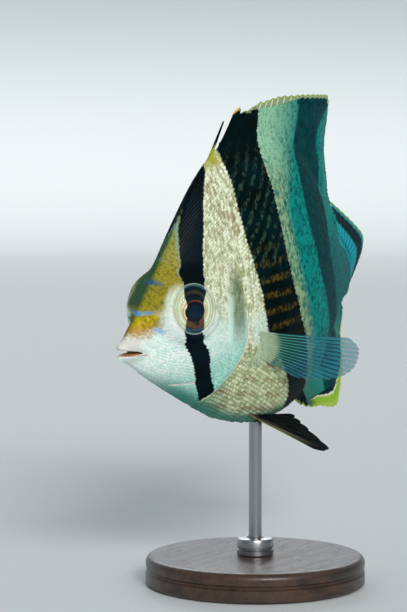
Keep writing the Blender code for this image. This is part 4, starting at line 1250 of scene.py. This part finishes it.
def fin_scales(name, roots, tips, foot, reach, lean, seed, corner):
    """Staggered plates on both faces wherever a fin is less than a share of its height up.

    The place of a plate on the unwrapped skin is beside the flank's, turned on its side.
    """
    share = np.linspace(0.02, 1, 40)[:, None, None]
    inside = (roots[None] + (tips - roots)[None] * share * reach)[..., :2].reshape(-1, 2)
    low, high = inside.min(0), inside.max(0)
    rows = np.arange(low[1], high[1], FIN_STEP * FIN_ROW)
    columns = np.arange(low[0], high[0], FIN_STEP * FIN_COLUMN)
    s = columns[None] + (np.arange(len(rows)) % 2)[:, None] * FIN_STEP * FIN_COLUMN / 2
    grid = np.stack([s, rows[:, None] + 0 * s], -1).reshape(-1, 2)
    cell = np.floor((inside - low) / FIN_STEP * FIN_CELLS).astype(int)
    filled = np.zeros(cell.max(0) + 3, dtype=bool)
    filled[cell[:, 0], cell[:, 1]] = True
    at = np.floor((grid - low) / FIN_STEP * FIN_CELLS).astype(int)
    grid = grid[filled[at[:, 0].clip(0, len(filled) - 1), at[:, 1].clip(0, filled.shape[1] - 1)]]
    grid = grid[foot(*grid.T) < fillet(-0.75 * FOOT_DEPTH)]
    long = np.full(len(grid), FIN_STEP * SCALE_LONG)

    def sheet(s, v):
        """Place on the unwrapped skin, the fin turned on its side."""
        return np.stack([FIN_SHEET[0] + FIN_SHEET[1] * (-v - corner[0]), corner[1] + s], -1)

    for side, word in SIDES:
        def face(s, v):
            """One face of the fin, v being how far down, half a web and its foot out."""
            half = np.maximum(foot(s, -v), 0.0046 - 0.0016 * ramp(np.abs(v), 0.10, 0.42))
            return np.stack([s, -v, half + lean(s, -v) * side], -1)

        scales(name + word, grid * (1, -1), face, long, long * SCALE_BROAD, side, plate_horn, seed + side,
               sheet)


fin_scales("dorsal_scales_", np.concatenate([spine_root[FIRST_SCALED:], soft_root]),
           np.concatenate([spine_tips[FIRST_SCALED:], soft_tips]), over_back_foot, 0.82, dorsal_lean, 41,
           (0.05, 0.0))


# Anal fin.  Three short spines, then sixteen forked rays in one thin web under the belly,
# dark, with a yellow-green lobe along its edge.
ANAL_COUNT = 3 + 16
ANAL_TIPS = ((0.640, -0.238), (0.658, -0.250), (0.700, -0.265), (0.745, -0.273), (0.766, -0.275),
             (0.812, -0.288), (0.862, -0.299), (0.918, -0.298), (0.972, -0.268), (1.004, -0.217),
             (1.010, -0.160), (1.005, -0.112), (0.972, -0.080), (0.948, -0.068))
ANAL_START = 0.604
ANAL_END = 0.93


def under_belly_foot(s, z):
    """Half width of the anal fin's foot at a place."""
    return fillet(belly_line(s) - z)


def anal_lean(s, z):
    """Rear edge of the anal fin swept to the fish's right."""
    return -0.018 * ramp(s, 0.84, 1.0) * ramp(-z, 0.06, 0.14)


def anal_web():
    """Black-green web, paler in front, edged with a cream line and a broad yellow-green one."""
    fin = fin_finish("anal_web", 900.0, Specular_IOR_Level=0.02)
    ragged = fin.ragged
    lobe = fin.phase.ramp(3.0, 5.0)
    inward = ragged - fin.phase.ramp(10.8, 13.0) * 0.17
    colour = fin.coats(living_colour(fin), (fin.ray.ramp(0.8, 0.2) * 0.25, "0c3437"),
                       (ragged.ramp(0.30, 0.55) * fin.phase.ramp(2.0, 5.0) * 0.9, "042328"),
                       (inward.near(0.755, 0.016) * lobe, "e6ecc0"),
                       (inward.ramp(0.765, 0.785) * lobe, "9cc53a"),
                       (ragged.ramp(0.88, 0.95) * lobe * 0.6, "c3d765"),
                       (ragged.ramp(0.94, 0.975), "b6c95a"))
    return fin_closed(fin, colour, 0.46, 0.12, 0.00005, 0.4)


at = np.linspace(0, 1, ANAL_COUNT * RAY_COLUMNS)
anal_s = ANAL_START + (ANAL_END - ANAL_START) * at
root = np.stack([anal_s, belly_line(anal_s) + FOOT_DEPTH, 0 * anal_s], -1)
tips = along_outline(ANAL_TIPS, at)
web("anal_web", root, tips, at * ANAL_COUNT, anal_web(), "anal_fin",
    notch=0.003 + 0.012 * (1 - ramp(at, 0.05, 0.22)), faired=under_belly_foot, lean=anal_lean, sink=0.0)
fin_scales("anal_scales_", root, tips, under_belly_foot, 0.60, anal_lean, 51, (-0.30, -0.62))


# Tail fin.  Seventeen forked rays in a thin web, fanned from the tail stalk and swung a little to
# the fish's right: blue-green, partly painted shade, with a dark band before a narrow green edge.
CAUDAL_RAYS = 17
TAIL_TIPS = ((1.149, 0.176), (1.183, 0.142), (1.208, 0.110), (1.222, 0.078),
             (1.217, 0.046), (1.198, 0.014), (1.172, -0.020), (1.141, -0.057))
TAIL_SWING = (-0.060, -0.037, -0.015, 0.003, 0.003, -0.006, -0.018, -0.033)
TAIL_ROOT = 0.985
TAIL_ROOT_TOP = 0.070
TAIL_ROOT_HEIGHT = 0.106


def tail_web():
    """Blue-green web, partly painted shade: a faint dark streak above, a dark band before the margin, and a
    green edge.
    """
    fin = fin_finish("tail_web", 700.0, Specular_IOR_Level=0.06)
    ragged = fin.ragged
    colour = fin.coats(fin.mix(fin.ray, "067f93", "28b2b4"), (ragged.ramp(0.24, 0.02), "0b7a72"),
                       (ragged.near(0.35, 0.022) * fin.phase.ramp(12.0, 5.0) * 0.6, "063f4a"),
                       (ragged.ramp(0.60, 0.66), "03232a"), (ragged.ramp(0.885, 0.905), "1d8f97"),
                       (ragged.ramp(0.945, 0.975) * 0.95, "8aa243"))
    return fin_closed(fin, colour, 0.42, 0.10, 0.00006, 0.5)


at = np.linspace(0, 1, CAUDAL_RAYS * RAY_COLUMNS)
root = np.stack([TAIL_ROOT + 0 * at, TAIL_ROOT_TOP - TAIL_ROOT_HEIGHT * at, 0 * at], -1)
tips = along_outline(TAIL_TIPS, at)
tips[:, 2] = smooth(at, np.linspace(0, 1, len(TAIL_SWING)), TAIL_SWING)
web("tail_web", root, tips, at * CAUDAL_RAYS, tail_web(), "caudal_fin",
    notch=0.004, foot=0.010)


# Pectoral fins.  A clear fan of fourteen forked rays on a fleshy foot behind each gill
# cover, the longest rays at the top, swung out from the flank.
PECTORAL_RAYS = 14
# Station and height of the root's front end, and how far each runs to its rear end
PECTORAL_ROOT = ((0.350, 0.022), (-0.013, -0.070))
PECTORAL_REACH = ((0, 0.12, 0.3, 0.55, 0.8, 1), (0.238, 0.264, 0.268, 0.245, 0.172, 0.085))
PECTORAL_DIP = ((0, 0.3, 0.7, 1), (12.5, 17.5, 26.5, 34.0))


def pectoral_web():
    """Clear web with milky rays and a fleshy foot; the flank shows through it."""
    fin = fin_finish("clear_web", 1200.0, Coat_Weight=0.2, Coat_Roughness=0.15)
    out = fin.out
    milky = fin.ray.ramp(0.2, 0.9)
    colour = fin.coats(fin.mix(milky, "03566a", "2ba6b8"),
                       (out.ramp(0.50, 0.25), fin.mix(milky, "026a5c", "6fd0c4")),
                       (out.ramp(0.20, 0.12) * 0.95, fin.mix(fin.speck, "c6d4b2", "93b090")))
    clear = 0.30 + fin.ray.ramp(0.45, 0.95) * (0.35 + out.ramp(0.6, 0.2) * 0.25) + out.ramp(0.26, 0.10) * 0.6
    return fin_closed(fin, colour, 0.35, 0.10, 0.00006, 0.5, Alpha=clear)


def pectoral(side, outward, finish, word):
    """Rays fanned down and back from a slanting root; reach and dip are smooth along the root."""
    at = np.linspace(0, 1, PECTORAL_RAYS * RAY_COLUMNS)
    root_s, root_z = [start + run * at for start, run in PECTORAL_ROOT]
    reach = smooth(at, *PECTORAL_REACH)
    dip = np.radians(smooth(at, *PECTORAL_DIP))
    way = np.stack([np.cos(dip) * math.cos(outward), -np.sin(dip), np.cos(dip) * math.sin(outward)], 1)
    root = np.stack([root_s, root_z, width(root_s, root_z, 0 * at) - 0.002], 1)
    web("pectoral_web_" + word, root, root + way * reach[:, None], at * PECTORAL_RAYS, finish,
        "pectoral_fin_" + word, ray=(0.0036, 0.0016), notch=0.004,
        face=(-math.sin(outward), 0.0, math.cos(outward)), foot=0.0065, bow=0.010, sink=0.04, side=side)


clear_web = pectoral_web()
pectoral(1, math.radians(24), clear_web, "left")
pectoral(-1, math.radians(30), clear_web, "right")


# Pelvic fins.  A narrow black blade on each side of the breast: one stiff spine in front and
# five rays behind it, each shorter than the last.
PELVIC_COUNT = 1 + 5
PELVIC_COLUMNS = 26
PELVIC_OUT = 0.028
PELVIC_START = 0.374
PELVIC_RUN = 0.050
# How much less the rays dip along the root, in its share and its square, and how they splay
PELVIC_LIFT = (0.305, 0.34)
PELVIC_SPLAY = math.radians(5.0)
PELVIC_REACH = ((0, 0.2, 0.45, 0.8, 1), (0.270, 0.310, 0.220, 0.132, 0.102))


def underside(s, w):
    """Height of the belly at a station and a distance from the middle."""
    level = smooth(s, STATIONS, WIDEST)
    widest = smooth(s, STATIONS, HALF_WIDTH)
    fullness = smooth(s, FULLNESS_STATIONS, BREAST_FULLNESS)
    part = np.clip((w - SEAT_HALF) / (widest - SEAT_HALF), 0, 1)
    height = (1 - part ** (1 / fullness)) ** (1 / SECTION_POWER)
    return level - height * (level - belly_line(s))


def pelvic_web():
    """Sooty black, with a brown spine and grey streaks along the rays."""
    fin = fin_finish("black_web", 1500.0, Specular_IOR_Level=0.08)
    phase = fin.phase
    out = fin.out
    colour = fin.coats(fin.mix(fin.ray * fin.speck.ramp(0.45, 0.75) * 0.5, "0a1315", "34382f"),
                       (phase.ramp(1.15, 0.6) * out.ramp(0.95, 0.35) * 0.85, "8b8461"),
                       (phase.near(1.5, 0.25) * out.ramp(0.5, 0.1) * 0.5, "6f6146"))
    return fin_closed(fin, colour, 0.45, 0.10, 0.00006, 0.6)


def pelvic(side, lowered, outward, finish, word):
    """Blade from a short root under the breast, dipping less from ray to ray."""
    at = np.linspace(0, 1, PELVIC_COUNT * PELVIC_COLUMNS)
    root_s = PELVIC_START + PELVIC_RUN * at
    root_w = PELVIC_OUT + 0 * at
    dip = lowered * (1 - PELVIC_LIFT[0] * at - PELVIC_LIFT[1] * at ** 2)
    out = outward + PELVIC_SPLAY * at
    way = np.stack([np.cos(dip) * np.cos(out), -np.sin(dip), np.cos(dip) * np.sin(out)], 1)
    root = np.stack([root_s, underside(root_s, root_w) + 0.004, root_w], 1)
    web("pelvic_web_" + word, root, root + way * smooth(at, *PELVIC_REACH)[:, None], at * PELVIC_COUNT,
        finish, "pelvic_fin_" + word, ray=(0.0040, 0.0018), notch=0.010, foot=0.0055, sink=0.03,
        side=side)


black_web = pelvic_web()
pelvic(1, math.radians(29.5), math.radians(7), black_web, "left")
pelvic(-1, math.radians(16), 0.0, black_web, "right")


# Studio.  A plain pale floor without an edge in sight, a broad soft light from the camera's
# side, a weaker one on the fish's other side, and a camera at the photograph's angle.
FLOOR_RADIUS = 2.4
FLOOR_CURVE = 0.8
FLOOR_WALL = 1.3
FLOOR_AROUND = 128
FLOOR_BELOW = 0.0002


def floor():
    """Level sheet that turns up at its far edge all round, like the sweep behind a studio table; its paper
    is painted greyer as it rises, a painted shade on the wall.
    """
    climb = np.radians(np.linspace(0, 90, 17))
    run = np.concatenate([[0.3], FLOOR_RADIUS + FLOOR_CURVE * np.sin(climb), [FLOOR_RADIUS + FLOOR_CURVE]])
    rise = np.concatenate([[0.0], FLOOR_CURVE * (1 - np.cos(climb)), [FLOOR_WALL]])[:, None]
    angle = np.linspace(0, 2 * math.pi, FLOOR_AROUND, endpoint=False)
    rings = np.stack([np.outer(run, np.cos(angle)), np.outer(run, np.sin(angle)), rise + 0 * angle], -1)
    points = np.concatenate([rings.reshape(-1, 3), [[0.0, 0.0, 0.0]]]) - (0.0, 0.0, FLOOR_BELOW)
    faces = np.concatenate([grid_faces(len(run), FLOOR_AROUND, wrap=True),
                            cap_faces(np.arange(FLOOR_AROUND), len(points) - 1)])
    mesh = bpy.data.meshes.new("floor_sheet")
    mesh.from_pydata(points.tolist(), [], faces.tolist())
    mesh.shade_smooth()
    paper = Finish("floor_paper", Roughness=0.9)
    tooth = paper.noise(paper.spot(), 900.0)
    height = paper.node("ShaderNodeSeparateXYZ", {}, {0: paper.spot()}, 2)
    pale = paper.mix(tooth, "e6e9ea", "e0e4e5")
    # Painted shade: the paper greys as the sweep rises into a wall
    paper.close(Base_Color=paper.mix(height.ramp(-0.05, 0.55), pale, "8d979c"))
    mesh.materials.append(paper.material)
    set_down("floor_sheet", mesh)


def sun(name, toward, strength, spread, tint):
    """Distant soft light from a direction, as broad as its spread in degrees."""
    light = bpy.data.lights.new(name, "SUN")
    light.energy = strength
    light.angle = math.radians(spread)
    light.color = tint
    set_down(name, light).matrix_world = Vector(toward).to_track_quat("Z", "Y").to_matrix().to_4x4()


floor()
sun("key_light", (-0.62, -0.74, 0.38), 3.9, 26.0, (1.0, 0.99, 0.96))
sun("back_light", (0.78, 0.58, 0.30), 1.7, 40.0, (0.92, 0.97, 1.0))
world = bpy.data.worlds.new("studio")
world.use_nodes = True
backdrop = world.node_tree.nodes["Background"].inputs
backdrop["Color"].default_value = (0.88, 0.95, 1.0, 1.0)
backdrop["Strength"].default_value = 0.38
bpy.context.scene.world = world
bpy.context.scene.view_settings.view_transform = "Standard"

VIEW_HEADING = math.radians(35.0)
VIEW_DOWN = math.radians(3.3)
CAMERA_PLACE = (-0.41745, -0.27675, 0.09720)
FOCAL_PIXELS = 2048.5
PHOTO_HEIGHT = 612
SENSOR = 36.0
camera = bpy.data.cameras.new("photo_camera")
camera.sensor_width = SENSOR
camera.lens = SENSOR * FOCAL_PIXELS / PHOTO_HEIGHT
camera.clip_start = 0.01
look = Vector((math.cos(VIEW_HEADING) * math.cos(VIEW_DOWN), math.sin(VIEW_HEADING) * math.cos(VIEW_DOWN),
               -math.sin(VIEW_DOWN)))
eye_point = set_down("photo_camera", camera)
facing = look.to_track_quat("-Z", "Y").to_matrix().to_4x4()
eye_point.matrix_world = Matrix.Translation(CAMERA_PLACE) @ facing
bpy.context.scene.camera = eye_point
